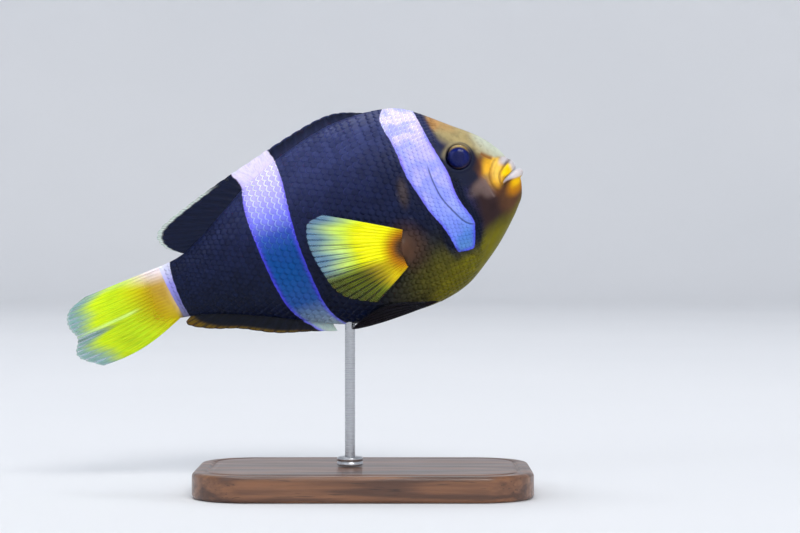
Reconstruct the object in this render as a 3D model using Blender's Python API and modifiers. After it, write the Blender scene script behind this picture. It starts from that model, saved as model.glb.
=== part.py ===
"""A clownfish of the species Clark's anemonefish, life size, swimming on a plain display stand.

Metres, +Z up, the head towards +X. The fish is drawn in its own side view, in millimetres: s runs from the
snout towards the tail, h runs up, and y runs to the fish's left. The empty fish_pose pitches the nose up and
carries the fish over the stand. The body is one closed form, a loft of rings from the throat out over the
lips and back to the root of the tail. Thin cuts part it into jaws, head, gill covers, trunk and tail stem.
"""

import math

import bmesh
import bpy
import numpy as np
from mathutils import Vector

MM = 0.001

# Pose and stand.
PITCH = math.radians(18.6)
SNOUT_X, SNOUT_Z = 36.4, 73.7
BASE_LENGTH, BASE_WIDTH, BASE_HEIGHT = 78.0, 48.0, 6.0
BASE_CORNER, BASE_EDGE = 13.0, 1.0
COLLAR_RADIUS, COLLAR_HEIGHT = 3.0, 2.0
ROD_RADIUS, ROD_X, ROD_TOP = 1.2, -3.2, 48.0
ROD_SIDES = 24

GAP = 0.3
MID_HEAD, FULL_HEAD = 5.4, 14.0

# The body's outline, as (s, h) in millimetres, and its half width, as (s, y).
BACK = [(1.5, 4.9), (2.1, 6.2), (3.4, 8.4), (6, 11.7), (10, 15.2), (14, 18.5), (18, 21.7), (22, 24.1),
        (26, 25.2), (32, 25.7), (38, 25.5), (46, 23.9), (54, 21.4), (62, 18.0), (70, 13.4), (77, 9.5),
        (82, 7.6), (86, 7.0), (90, 6.0)]
BELLY = [(0.0, -0.9), (0.3, -2.2), (1.7, -5.4), (5, -9.2), (10, -13.9), (14, -16.9), (18, -19.5), (22, -21.1),
         (28, -22.1), (36, -22.0), (44, -21.2), (50, -19.8), (58, -16.3), (66, -12.6), (74, -9.3), (80, -7.3),
         (85, -6.4), (90, -5.6)]
HALF_WIDTH = [(5.4, 4.2), (8, 5.7), (12, 7.2), (16, 8.4), (20, 9.3), (26, 9.9), (32, 9.9), (40, 9.3),
              (50, 7.9), (60, 6.1), (70, 4.3), (78, 2.95), (85, 2.0), (88, 1.4), (90, 0.9)]
WIDEST_AT = [(5.4, -0.9), (9, 0.6), (14, 1.8), (24, 2.2), (40, 2.0), (60, 1.6), (76, 0.8), (90, 0.2)]
TAIL_POLE = (91.0, 0.2)

# The mouth's rings from the throat out: top (s, h), side (s, h), bottom (s, h), half width.
MOUTH = [
    ((7.4, -0.3), (7.6, -0.7), (7.4, -1.1), 0.7),  # throat
    ((4.6, 1.3), (6.0, -0.7), (4.4, -1.1), 2.5),  # inside the mouth
    ((1.9, 2.5), (5.0, -0.75), (0.9, 0.9), 3.0),  # inner side of the lips
    ((1.1, 2.3), (4.8, -0.75), (0.3, 1.6), 3.3),  # edge of the gape
    ((0.5, 2.9), (4.5, -0.75), (-0.75, 0.9), 3.85),  # crest of the lips
    ((0.7, 4.1), (4.7, -0.75), (-0.4, -0.1), 4.2),  # outer side of the lips
]
SECTION_SHARPNESS = 1.18

# Pieces drawn in the side view.
MOUTH_LINE = [(-6, 3.4), (0.7, 1.95), (2.5, 1.25), (3.8, 0.6), (4.6, -0.1), (5.0, -0.9)]
JAW_HINGE = (9.5, -13.4)
UPPER_JAW_BACK = [(5.2, -0.1), (7.2, 1.0), (5.6, 4.6), (3.2, 6.2)]
GILL_COVER = [(20.0, 9.4), (19.4, 3.6), (17.4, -2.4), (14.3, -7.2), (15.0, -11.2), (19.4, -11.4), (23.8, -6.8),
              (27.0, -0.8), (28.4, 5.0), (25.8, 9.8)]
GILL_DEPTH = 5.0
HEAD_CUT = ((30.4, 28.0), (26.4, -24.0))
STEM_CUT = ((76.0, 28.0), (76.0, -24.0))

EYE_AT, EYE_RADIUS, EYE_FLATNESS, EYE_OUT = (12.4, 8.5), 3.0, 0.68, 5.35
EYE_SIDES, BODY_SIDES = 18, 32

# Swimming bend: the spine leaves the mid plane behind the shoulders and swings to the fish's left.
BEND_FROM, BEND_TO, BEND_SWING = 36.0, 111.0, 7.0

FIN_THICKNESS, MEMBRANE_SHARE = 0.9, 0.62


def spline(knots, x):
    """Value at x of the natural cubic spline through the knots."""
    xs, ys = np.array(knots, float).T
    step, count = np.diff(xs), len(xs)
    system, load = np.eye(count), np.zeros(count)
    for i in range(1, count - 1):
        system[i, i - 1 : i + 2] = step[i - 1], 2 * (step[i - 1] + step[i]), step[i]
        load[i] = 6 * ((ys[i + 1] - ys[i]) / step[i] - (ys[i] - ys[i - 1]) / step[i - 1])
    bend = np.linalg.solve(system, load)
    x = np.clip(x, xs[0], xs[-1])
    i = np.clip(np.searchsorted(xs, x) - 1, 0, count - 2)
    a, b, h = xs[i + 1] - x, x - xs[i], step[i]
    curve = (bend[i] * a**3 + bend[i + 1] * b**3) / (6 * h)
    return curve + (ys[i] / h - bend[i] * h / 6) * a + (ys[i + 1] / h - bend[i + 1] * h / 6) * b


def track(points, t):
    """Point at share t of the way along a smooth curve through the points, which lie at even shares."""
    shares = np.linspace(0, 1, len(points))
    return np.array([spline(list(zip(shares, axis)), t) for axis in np.array(points, float).T]).T


def to_local(s, y, h):
    """A point of the side view, moved with the swimming bend, in the fish's own metres."""
    along = max(0.0, s - BEND_FROM) / (BEND_TO - BEND_FROM)
    swing = BEND_SWING * along**2
    turn = math.atan(2 * BEND_SWING * along / (BEND_TO - BEND_FROM))
    return Vector((-s + y * math.sin(turn), swing + y * math.cos(turn), h)) * MM


def head_ring(v):
    """The ring at share v of the way from the lips' groove back to the full section behind the eye."""
    top, side, bottom = (a + (FULL_HEAD - a) * v for a in (BACK[0][0], MID_HEAD, BELLY[0][0]))
    return ((top, spline(BACK, top)), (side, spline(WIDEST_AT, side)), (bottom, spline(BELLY, bottom)),
            spline(HALF_WIDTH, side))


def trunk_ring(s):
    """The upright ring at s."""
    return (s, spline(BACK, s)), (s, spline(WIDEST_AT, s)), (s, spline(BELLY, s)), spline(HALF_WIDTH, s)


def body_rings():
    """Every ring of the body, from the throat to the root of the tail."""
    face = [head_ring(v) for v in np.linspace(0, 1, 10) ** 1.25]
    trunk = [trunk_ring(s) for s in np.linspace(FULL_HEAD, 86, 21)[1:]]
    return MOUTH + face + trunk + [trunk_ring(88), trunk_ring(90)]


def on_ring(ring, angle):
    """The ring's point at an angle from its top: half an ellipse above the widest line, half below it."""
    top, side, bottom, half_width = ring
    end = top if math.cos(angle) > 0 else bottom
    rise = abs(math.cos(angle))
    s = side[0] + (end[0] - side[0]) * rise**2
    h = side[1] + (end[1] - side[1]) * rise
    across = abs(math.sin(angle)) ** SECTION_SHARPNESS
    return s, math.copysign(half_width * across, math.sin(angle)), h


def fish_pose():
    """The empty that pitches the fish and sets it over the stand."""
    pose = bpy.data.objects.new("fish_pose", None)
    pose.location = (SNOUT_X * MM, 0, SNOUT_Z * MM)
    pose.rotation_euler = (0, -PITCH, 0)
    return pose


def body_mesh(name, around, grow=0.0, mouth=True):
    """The whole body as a closed mesh: a sphere's rows of points, moved onto the rings.

    With grow, its surface stands that much further out. Without mouth, the gape is closed over.
    """
    rings = body_rings()[0 if mouth else len(MOUTH) - 2 :]
    first, last = rings[0], TAIL_POLE
    pole = [(first[0][0] + first[2][0]) / 2, (first[0][1] + first[2][1]) / 2]
    form = bmesh.new()
    bmesh.ops.create_uvsphere(form, u_segments=around, v_segments=len(rings) + 1, radius=1)
    for point in form.verts:
        row = round(math.acos(max(-1, min(1, point.co.z))) / math.pi * (len(rings) + 1))
        angle = math.atan2(point.co.y, point.co.x)
        if row == 0:
            point.co = to_local(pole[0], 0, pole[1])
        elif row == len(rings) + 1:
            point.co = to_local(last[0], 0, last[1])
        else:
            point.co = to_local(*on_ring(rings[row - 1], angle))
    bmesh.ops.recalc_face_normals(form, faces=form.faces)
    if grow:
        form.normal_update()
        for point, out in [(v, v.normal.copy()) for v in form.verts]:
            point.co += out * grow * MM
    return finished_mesh(name, form)


def finished_mesh(name, form):
    mesh = bpy.data.meshes.new(name)
    form.to_mesh(mesh)
    form.free()
    return mesh


def material(name, colour, roughness, metallic=0.0):
    finish = bpy.data.materials.new(name)
    finish.use_nodes = True
    shader = finish.node_tree.nodes["Principled BSDF"]
    shader.inputs["Base Color"].default_value = (*colour, 1)
    shader.inputs["Roughness"].default_value = roughness
    shader.inputs["Metallic"].default_value = metallic
    return finish


def add(name, mesh, finish, parent=None):
    """A piece of the model, in the collection clownfish."""
    piece = bpy.data.objects.new(name, mesh)
    PARTS.objects.link(piece)
    piece.parent = parent
    piece.data.materials.append(finish)
    return piece


def add_cutter(name, mesh, parent):
    """A shape that cuts pieces, and isn't one itself."""
    cutter = bpy.data.objects.new(name, mesh)
    CUTTERS.objects.link(cutter)
    cutter.parent = parent
    cutter.hide_render = True
    cutter.display_type = "WIRE"
    return cutter


def carve(piece, cutter, operation="DIFFERENCE"):
    cut = piece.modifiers.new(cutter.name, "BOOLEAN")
    cut.operation = operation
    cut.solver = "EXACT"
    cut.object = cutter


def prism(name, outline, low, high, parent):
    """A cutter with this outline in the side view, from y low to y high."""
    curve = bpy.data.curves.new(name, "CURVE")
    curve.dimensions = "2D"
    curve.fill_mode = "BOTH"
    curve.extrude = (high - low) / 2 * MM
    line = curve.splines.new("POLY")
    line.points.add(len(outline) - 1)
    for point, (s, h) in zip(line.points, outline):
        point.co = (-s * MM, h * MM, 0, 1)
    line.use_cyclic_u = True
    flat = bpy.data.objects.new(name + "_outline", curve)
    CUTTERS.objects.link(flat)
    mesh = bpy.data.meshes.new_from_object(flat.evaluated_get(bpy.context.evaluated_depsgraph_get()))
    bpy.data.objects.remove(flat)
    form = bmesh.new()
    form.from_mesh(mesh)
    bmesh.ops.remove_doubles(form, verts=form.verts, dist=1e-6)
    bmesh.ops.recalc_face_normals(form, faces=form.faces)
    form.to_mesh(mesh)
    form.free()
    cutter = add_cutter(name, mesh, parent)
    cutter.rotation_euler = (math.pi / 2, 0, 0)
    cutter.location = (0, (low + high) / 2 * MM, 0)
    return cutter


def grown(outline, by):
    """The outline moved outwards by this much all round, for the gap between two pieces."""
    points = np.array(outline, float)
    before, after = np.roll(points, 1, 0), np.roll(points, -1, 0)
    sides = [(b - a) / np.linalg.norm(b - a, axis=1)[:, None] for a, b in ((before, points), (points, after))]
    out = [np.stack([side[:, 1], -side[:, 0]], 1) for side in sides]
    area = np.sum(points[:, 0] * after[:, 1] - after[:, 0] * points[:, 1])
    mean = (out[0] + out[1]) * math.copysign(1, area)
    return (points + mean * (2 * by / np.sum(mean**2, 1))[:, None]).tolist()


def rounded(outline, steps=4):
    """A closed outline drawn smoothly through the points."""
    points = np.array(outline, float)
    before, after, later = (np.roll(points, -k, 0) for k in (-1, 1, 2))
    t = np.linspace(0, 1, steps, endpoint=False)[None, :, None]
    p, q, r, s = (a[:, None] for a in (before, points, after, later))
    curve = q + t * (r - p) / 2 + t**2 * (p - 2.5 * q + 2 * r - s / 2) + t**3 * (1.5 * (q - r) + (s - p) / 2)
    return curve.reshape(-1, 2).tolist()


def behind(cut, far=130.0):
    """The outline of all that lies behind a cut across the body."""
    (s_top, h_top), (s_bottom, h_bottom) = cut
    return [(s_top, h_top), (far, h_top), (far, h_bottom), (s_bottom, h_bottom)]


def shifted(cut, by):
    return tuple((s + by, h) for s, h in cut)


def build_body(pose, flesh, pale):
    """The head with its jaws and gill covers, the trunk and the tail stem, from one form and thin cuts."""
    jaw = [*MOUTH_LINE, JAW_HINGE, (-6, -20)]
    upper_jaw = [*MOUTH_LINE[:-1], *UPPER_JAW_BACK, (-6, 6.2)]
    behind_head = prism("behind_head", behind(HEAD_CUT), -15, 15, pose)
    before_trunk = prism("before_trunk", [(-20, 40), (-20, -40), shifted(HEAD_CUT, GAP)[1],
                                          shifted(HEAD_CUT, GAP)[0]], -15, 15, pose)
    behind_trunk = prism("behind_trunk", behind(STEM_CUT), -15, 20, pose)
    before_stem = prism("before_stem", [(-20, 40), (-20, -40), shifted(STEM_CUT, GAP)[1],
                                        shifted(STEM_CUT, GAP)[0]], -15, 20, pose)
    jaw_space = prism("jaw_space", grown(jaw, GAP), -12, 12, pose)
    jaw_shape = prism("jaw_shape", jaw, -12, 12, pose)
    lip_space = prism("lip_space", grown(upper_jaw, GAP), -12, 12, pose)
    lip_shape = prism("lip_shape", upper_jaw, -12, 12, pose)

    head = add("head", body_mesh("head", BODY_SIDES), flesh, pose)
    for cutter in (behind_head, jaw_space, lip_space):
        carve(head, cutter)
    lower = add("lower_jaw", body_mesh("lower_jaw", BODY_SIDES), flesh, pose)
    carve(lower, jaw_shape, "INTERSECT")
    upper = add("upper_jaw", body_mesh("upper_jaw", BODY_SIDES), pale, pose)
    carve(upper, lip_shape, "INTERSECT")
    carve(upper, jaw_space)
    trunk = add("trunk", body_mesh("trunk", BODY_SIDES), flesh, pose)
    carve(trunk, before_trunk)
    carve(trunk, behind_trunk)
    stem = add("tail_stem", body_mesh("tail_stem", BODY_SIDES), flesh, pose)
    carve(stem, before_stem)
    gill_edge = rounded(GILL_COVER)
    for side, sign in SIDES:
        low, high = sorted((sign * GILL_DEPTH, sign * 15))
        cover = add(f"gill_cover_{side}", body_mesh(f"gill_cover_{side}", BODY_SIDES), flesh, pose)
        carve(cover, prism(f"gill_shape_{side}", gill_edge, low, high, pose), "INTERSECT")
        low, high = sorted((sign * (GILL_DEPTH - GAP), sign * 15))
        carve(head, prism(f"gill_space_{side}", grown(gill_edge, GAP), low, high, pose))
    return head


def ball(name, radius, flatness, segments):
    form = bmesh.new()
    bmesh.ops.create_uvsphere(form, u_segments=segments, v_segments=segments // 2, radius=radius * MM)
    for point in form.verts:
        point.co.z *= flatness
    return finished_mesh(name, form)


def build_eyes(pose, head, finish):
    """A flattened ball in a socket on each side of the head."""
    socket_flatness = (EYE_RADIUS * EYE_FLATNESS + GAP) / (EYE_RADIUS + GAP)
    for side, sign in SIDES:
        place = Vector((-EYE_AT[0], sign * EYE_OUT, EYE_AT[1])) * MM
        eye = add(f"eye_{side}", ball(f"eye_{side}", EYE_RADIUS, EYE_FLATNESS, EYE_SIDES), finish, pose)
        hollow = ball(f"socket_{side}", EYE_RADIUS + GAP, socket_flatness, EYE_SIDES)
        socket = add_cutter(f"socket_{side}", hollow, pose)
        for item in (eye, socket):
            item.location = place
            item.rotation_euler = (math.pi / 2, 0, 0)
        carve(head, socket)


def fin_mesh(name, rays, steps, place, notch):
    """An open fan: a grid whose columns are the rays and the membranes between them.

    place(r, t) is the point in the side view (s, y, h) at share r from the first ray to the last and share t
    from the root to the tip. Membranes end short of the tips by the share notch.
    """
    columns = 2 * rays - 1
    form = bmesh.new()
    bmesh.ops.create_grid(form, x_segments=columns - 1, y_segments=steps, size=1)
    spots = []
    for point in form.verts:
        column = round((point.co.x + 1) / 2 * (columns - 1))
        t = (point.co.y + 1) / 2
        on_membrane = column % 2
        spots.append((point, on_membrane))
        point.co = to_local(*place(column / (columns - 1), t * (1 - notch * on_membrane)))
    form.verts.index_update()
    weights = {point.index: MEMBRANE_SHARE if on_membrane else 1.0 for point, on_membrane in spots}
    return finished_mesh(name, form), weights


def add_fin(name, rays, steps, place, finish, pose, body, notch=0.05):
    """A fin as a solid fan, trimmed where its root would meet the body."""
    mesh, weights = fin_mesh(name, rays, steps, place, notch)
    fin = add(name, mesh, finish, pose)
    group = fin.vertex_groups.new(name="thickness")
    for index, weight in weights.items():
        group.add([index], weight, "REPLACE")
    wall = fin.modifiers.new("wall", "SOLIDIFY")
    wall.thickness = FIN_THICKNESS * MM
    wall.offset = 0
    wall.vertex_group = "thickness"
    wall.use_even_offset = False
    carve(fin, body)
    return fin


def fan(root, tips, lean=None):
    """place() of a fin whose roots and tips each follow a smooth line, with lean(r, t) as its sideways place."""
    def place(r, t):
        s, h = track(root, r) * (1 - t) + track(tips, r) * t
        return float(s), lean(r, t) if lean else 0.0, float(h)
    return place


def build_middle_fins(pose, body, dark, tail):
    """Dorsal, anal and tail fins, in the mid plane."""
    spiny_root = [(28, 24.6), (37, 24.4), (47, 22.5), (55.6, 19.4)]
    spiny_tips = [(28.8, 26.0), (37, 27.6), (46, 26.5), (55.6, 24.0)]
    add_fin("dorsal_fin_front", 11, 3, fan(spiny_root, spiny_tips), dark, pose, body, notch=0.12)
    soft_root = [(55.9, 19.3), (64, 15.4), (72, 11.0), (79, 7.0)]
    soft_tips = [(55.9, 24.0), (64.5, 21.7), (72, 19.5), (79, 17.2), (84.6, 14.4), (84.1, 10.8), (80.6, 8.2)]
    add_fin("dorsal_fin_rear", 14, 4, fan(soft_root, soft_tips), dark, pose, body)
    anal_root = [(52.6, -17.2), (62, -13.0), (72, -8.6), (82, -5.4)]
    anal_tips = [(51.8, -20.7), (59, -18.5), (66, -16.4), (73, -13.1), (79, -11.1), (84.6, -8.2), (83.2, -6.5)]
    add_fin("anal_fin", 12, 4, fan(anal_root, anal_tips), dark, pose, body)
    tail_root = [(86, 6.9), (87.5, 3.4), (88, 0.3), (87.5, -2.8), (86, -6.2)]
    tail_tips = [(107.4, 5.7), (111.3, 3.2), (111.6, -0.5), (110.8, -3.5), (112.4, -6.7), (106.0, -10.8)]

    def crease(r, t):
        return 0.9 * t * math.cos(2.2 * math.pi * r) * (1 - 0.5 * r)

    add_fin("tail_fin", 15, 5, fan(tail_root, tail_tips, crease), tail, pose, body, notch=0.03)


def belly_at(s, y):
    """Height of the belly's surface at s, this far to one side."""
    rise = math.cos(math.asin((y / spline(HALF_WIDTH, s)) ** (1 / SECTION_SHARPNESS)))
    widest = spline(WIDEST_AT, s)
    return widest + (spline(BELLY, s) - widest) * rise


def build_paired_fins(pose, body, yellow, dark):
    """Pectoral fins that stand off the flanks, and pelvic fins folded back under the belly."""
    pectoral_root = [(30.0, -3.2), (31.2, -6.0), (31.8, -9.0), (31.6, -11.8)]
    pectoral_tips = [(49.0, 7.0), (51.2, 2.8), (51.5, -2.2), (50.2, -7.4), (48.0, -12.6), (41.0, -16.6)]
    for side, sign in SIDES:
        def pectoral_lean(r, t, sign=sign):
            out = 8.9 + 4.6 * t - 3.4 * t * r**1.5 - 0.9 * r + 0.8 * math.sin(math.pi * t)
            return sign * out

        def pelvic(r, t, sign=sign):
            s = 27.2 + 1.6 * r + (21.1 - 5.0 * r**1.5) * t
            y = 1.1 + 1.0 * r + 2.6 * r * math.sin(0.8 * math.pi * t)
            return s, sign * y, belly_at(s, y) - 2.0 * t + 0.5

        add_fin(f"pectoral_fin_{side}", 13, 5, fan(pectoral_root, pectoral_tips, pectoral_lean), yellow, pose, body)
        add_fin(f"pelvic_fin_{side}", 6, 6, pelvic, dark, pose, body, notch=0.03)


def add_bar(name, radius, bottom, top, finish):
    """An upright round bar of the stand."""
    bar = bmesh.new()
    bmesh.ops.create_cone(bar, cap_ends=True, segments=ROD_SIDES, radius1=radius * MM, radius2=radius * MM,
                          depth=(top - bottom) * MM)
    piece = add(name, finished_mesh(name, bar), finish)
    piece.location = (ROD_X * MM, 0, (bottom + top) / 2 * MM)
    return piece


def build_stand(wood, steel, body):
    """A flat base with round corners, a collar, and one rod up to the belly."""
    slab = bmesh.new()
    bmesh.ops.create_cube(slab, size=1)
    bmesh.ops.scale(slab, vec=Vector((BASE_LENGTH, BASE_WIDTH, BASE_HEIGHT)) * MM, verts=slab.verts)
    upright = [e for e in slab.edges if abs((e.verts[0].co - e.verts[1].co).normalized().z) > 0.9]
    bmesh.ops.bevel(slab, geom=upright, offset=BASE_CORNER * MM, segments=8, profile=0.5, affect="EDGES")
    rim = [e for e in slab.edges if all(v.co.z > 0 for v in e.verts)]
    bmesh.ops.bevel(slab, geom=rim, offset=BASE_EDGE * MM, segments=2, profile=0.5, affect="EDGES")
    base = add("stand_base", finished_mesh("stand_base", slab), wood)
    base.location.z = BASE_HEIGHT / 2 * MM
    collar_bottom = BASE_HEIGHT + GAP
    collar_top = collar_bottom + COLLAR_HEIGHT
    add_bar("stand_collar", COLLAR_RADIUS, collar_bottom, collar_top, steel)
    rod = add_bar("stand_rod", ROD_RADIUS, collar_top + GAP, ROD_TOP, steel)
    carve(rod, body)


def main():
    flesh = material("dark_skin", (0.03, 0.025, 0.04), 0.45)
    lips = material("orange_skin", (0.8, 0.45, 0.08), 0.4)
    dark = material("dark_fin", (0.015, 0.015, 0.02), 0.5)
    yellow = material("yellow_fin", (0.95, 0.8, 0.03), 0.4)
    iris = material("eye", (0.01, 0.015, 0.06), 0.08)
    wood = material("walnut", (0.12, 0.06, 0.03), 0.45)
    steel = material("steel", (0.62, 0.62, 0.64), 0.25, 1.0)
    pose = fish_pose()
    PARTS.objects.link(pose)
    head = build_body(pose, flesh, lips)
    build_eyes(pose, head, iris)
    body = add_cutter("body_with_gap", body_mesh("body_with_gap", BODY_SIDES, grow=GAP, mouth=False), pose)
    build_middle_fins(pose, body, dark, yellow)
    build_paired_fins(pose, body, yellow, dark)
    build_stand(wood, steel, body)


for old in list(bpy.data.objects):
    bpy.data.objects.remove(old)
PARTS = bpy.data.collections.new("clownfish")
CUTTERS = bpy.data.collections.new("cutters")
for collection in (PARTS, CUTTERS):
    bpy.context.scene.collection.children.link(collection)
SIDES = (("right", -1), ("left", 1))
main()
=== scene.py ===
"""Clownfish on a display stand: the skin, scales, fins, eyes and stand that dress the solids of the frame.

The fish is worked out in its own side view, in millimetres: s runs from the snout towards the tail, h runs up
and y runs to the fish's left. Pose carries those places into the frame, in metres.
"""

import logging
import math
from dataclasses import dataclass, field
from enum import Enum

import bpy
import numpy as np
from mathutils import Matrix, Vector


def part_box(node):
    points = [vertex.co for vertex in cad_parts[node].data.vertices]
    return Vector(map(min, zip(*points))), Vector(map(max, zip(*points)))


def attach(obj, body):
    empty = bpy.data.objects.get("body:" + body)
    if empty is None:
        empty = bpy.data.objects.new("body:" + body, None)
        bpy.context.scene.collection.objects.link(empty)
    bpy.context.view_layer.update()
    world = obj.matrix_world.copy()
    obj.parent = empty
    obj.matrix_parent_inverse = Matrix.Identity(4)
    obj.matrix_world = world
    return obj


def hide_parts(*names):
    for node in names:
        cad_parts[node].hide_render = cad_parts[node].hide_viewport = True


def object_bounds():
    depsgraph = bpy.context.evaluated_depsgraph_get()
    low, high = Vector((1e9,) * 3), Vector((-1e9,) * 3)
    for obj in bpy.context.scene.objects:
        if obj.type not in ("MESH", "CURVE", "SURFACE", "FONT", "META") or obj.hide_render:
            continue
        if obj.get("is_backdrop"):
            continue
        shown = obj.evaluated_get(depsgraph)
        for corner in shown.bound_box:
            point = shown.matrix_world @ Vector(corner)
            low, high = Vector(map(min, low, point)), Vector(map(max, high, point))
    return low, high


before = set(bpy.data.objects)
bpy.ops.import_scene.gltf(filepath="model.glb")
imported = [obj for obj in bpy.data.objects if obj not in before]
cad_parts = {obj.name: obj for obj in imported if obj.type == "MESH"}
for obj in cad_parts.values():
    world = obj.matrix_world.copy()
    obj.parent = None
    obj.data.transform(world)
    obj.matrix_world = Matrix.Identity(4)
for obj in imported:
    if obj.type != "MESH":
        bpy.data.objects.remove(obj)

CAD_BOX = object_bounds()
Array = np.ndarray
Point = tuple[float, float]
Points = tuple[Point, ...]
Colour = tuple[float, float, float]
Shades = tuple[tuple[float, float, float, float], ...]
Socket, Material, Piece = bpy.types.NodeSocket, bpy.types.Material, bpy.types.Object
MM = 0.001
SEED = 7
NO_BAR = -9.0
BLACK, WHITE = (0, 0, 0), (1, 1, 1)
LOG = logging.getLogger("clownfish")


# -------- measures


def spline(knots: Array, values: Array, x: Array) -> Array:
    """The natural cubic spline through (knots, values): on each span a cubic whose slope and bend run on.

    Args:
        knots: rising places, (k,).
        values: values there, (k,) or (k, m).
        x: places to read, any shape.

    Returns:
        The values at x, of x's shape, with m behind it where values has m columns.
    """
    columns = values.reshape(len(knots), -1).astype(float)
    step = np.diff(knots)
    system = np.eye(len(knots))
    load = np.zeros_like(columns)
    inner = np.arange(1, len(knots) - 1)
    system[inner, inner - 1] = step[:-1]
    system[inner, inner] = 2 * (step[:-1] + step[1:])
    system[inner, inner + 1] = step[1:]
    slope = np.diff(columns, axis=0) / step[:, None]
    load[1:-1] = 6 * np.diff(slope, axis=0)
    bend = np.linalg.solve(system, load)
    flat = np.clip(np.ravel(x), knots[0], knots[-1])
    i = np.clip(np.searchsorted(knots, flat) - 1, 0, len(knots) - 2)
    a, b, h = ((knots[i + 1] - flat)[:, None], (flat - knots[i])[:, None], step[i][:, None])
    found = (bend[i] * a**3 + bend[i + 1] * b**3) / (6 * h)
    found += (columns[i] / h - bend[i] * h / 6) * a + (columns[i + 1] / h - bend[i + 1] * h / 6) * b
    return found.reshape(np.shape(x) + values.shape[1:])


def through(points: Points, x: Array) -> Array:
    """Height of the smooth line through the points, which run along x, at each x."""
    xs, ys = np.array(points, float).T
    return spline(xs, ys, np.asarray(x, float))


def track(points: tuple[tuple[float, ...], ...], share: Array) -> Array:
    """Place at each share, from 0 to 1, of a smooth line whose points lie at even shares."""
    places = np.array(points, float)
    return spline(np.linspace(0, 1, len(places)), places, share)


def ease(low: float, high: float, x: Array) -> Array:
    """3q^2 - 2q^3 of q, the share of the way from low to high: 0 before low and 1 past high."""
    q = np.clip((x - low) / (high - low), 0, 1)
    return q * q * (3 - 2 * q)


def hump(x: Array, centre: float, width: float) -> Array:
    """exp(-((x - centre) / width)^2): 1 at the centre, and a third at one width from it."""
    return np.exp(-(((x - centre) / width) ** 2))


def oval(s: Array, h: Array, centre: Point, radii: Point = (1, 1)) -> Array:
    """Distance from a centre in the side view, as a share of an upright oval's radii."""
    return np.hypot((s - centre[0]) / radii[0], (h - centre[1]) / radii[1])


def circle(count: int) -> Array:
    """Even angles round a full turn, in radians."""
    return np.arange(count) * 2 * math.pi / count


def listed(grid: Array) -> Array:
    """A grid's values as one list, row after row."""
    return grid.reshape((-1,) + grid.shape[2:])


@dataclass(frozen=True)
class Line:
    """A smooth open line in the side view.

    Attributes:
        points: (s, h) places that it runs through.
        pieces: short straight pieces that stand for it.
    """

    points: Points
    pieces: int = 28

    def near(self, s: Array, h: Array) -> tuple[Array, Array, Array]:
        """Where each place stands to the line, as the nearest of its short straight pieces.

        Args:
            s, h: places in the side view.

        Returns:
            The distance, the distance signed positive to the right of the line's run, and the share of
            the way along it.
        """
        knots = track(self.points, np.linspace(0, 1, self.pieces + 1))
        best = np.full(np.shape(s), np.inf)
        side = np.zeros(np.shape(s))
        share = np.zeros(np.shape(s))
        for k, (start, end) in enumerate(zip(knots[:-1], knots[1:])):
            run = end - start
            ds, dh = s - start[0], h - start[1]
            q = np.clip((ds * run[0] + dh * run[1]) / (run @ run), 0, 1)
            gap = np.hypot(ds - q * run[0], dh - q * run[1])
            closer = gap < best
            turn = np.sign(dh * run[0] - ds * run[1])
            side = np.where(closer, -turn * gap, side)
            share = np.where(closer, (k + q) / self.pieces, share)
            best = np.minimum(best, gap)
        return best, side, share

    def groove(self, s: Array, h: Array, width: float) -> Array:
        """1 on the line, falling off over the width, and fading at the line's two ends."""
        gap, _, share = self.near(s, h)
        return hump(gap, 0, width) * ease(0, 0.12, share) * ease(0, 0.12, 1 - share)


# -------- the form


@dataclass(frozen=True)
class Pose:
    """Where the fish stands in the frame: pitched nose up, its tail swung to its left.

    Attributes:
        pitch: nose up, in radians.
        snout: the snout's (x, z) in the frame, in millimetres.
        bend: (s where the swing starts, s of the tail's end, swing there).
    """

    pitch: float = math.radians(18.6)
    snout: Point = (36.4, 73.7)
    bend: tuple[float, float, float] = (36, 111, 7)

    def place(self, s: Array, y: Array, h: Array) -> Array:
        """Carries side-view places into the frame.

        The spine's sideways swing grows with the square of the way from the bend's start to its end, and
        each place turns with the spine.

        Args:
            s, y, h: places along the fish, to its left and up, in millimetres.

        Returns:
            Places in the frame, in metres, with a last axis of 3.
        """
        start, end, swing = self.bend
        along = np.maximum(0, s - start) / (end - start)
        turn = np.arctan(2 * swing * along / (end - start))
        x, left = -s + y * np.sin(turn), swing * along**2 + y * np.cos(turn)
        c, n = math.cos(self.pitch), math.sin(self.pitch)
        return np.stack((self.snout[0] + x * c - h * n, left, self.snout[1] + x * n + h * c), -1) * MM

    def side_view(self, place: Vector) -> Point:
        """Where a place of the frame lies in the side view, as long as it is ahead of the bend.

        Args:
            place: in metres.

        Returns:
            Its (s, h).
        """
        x, z = place.x / MM - self.snout[0], place.z / MM - self.snout[1]
        c, n = math.cos(self.pitch), math.sin(self.pitch)
        return -x * c - z * n, z * c - x * n


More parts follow.
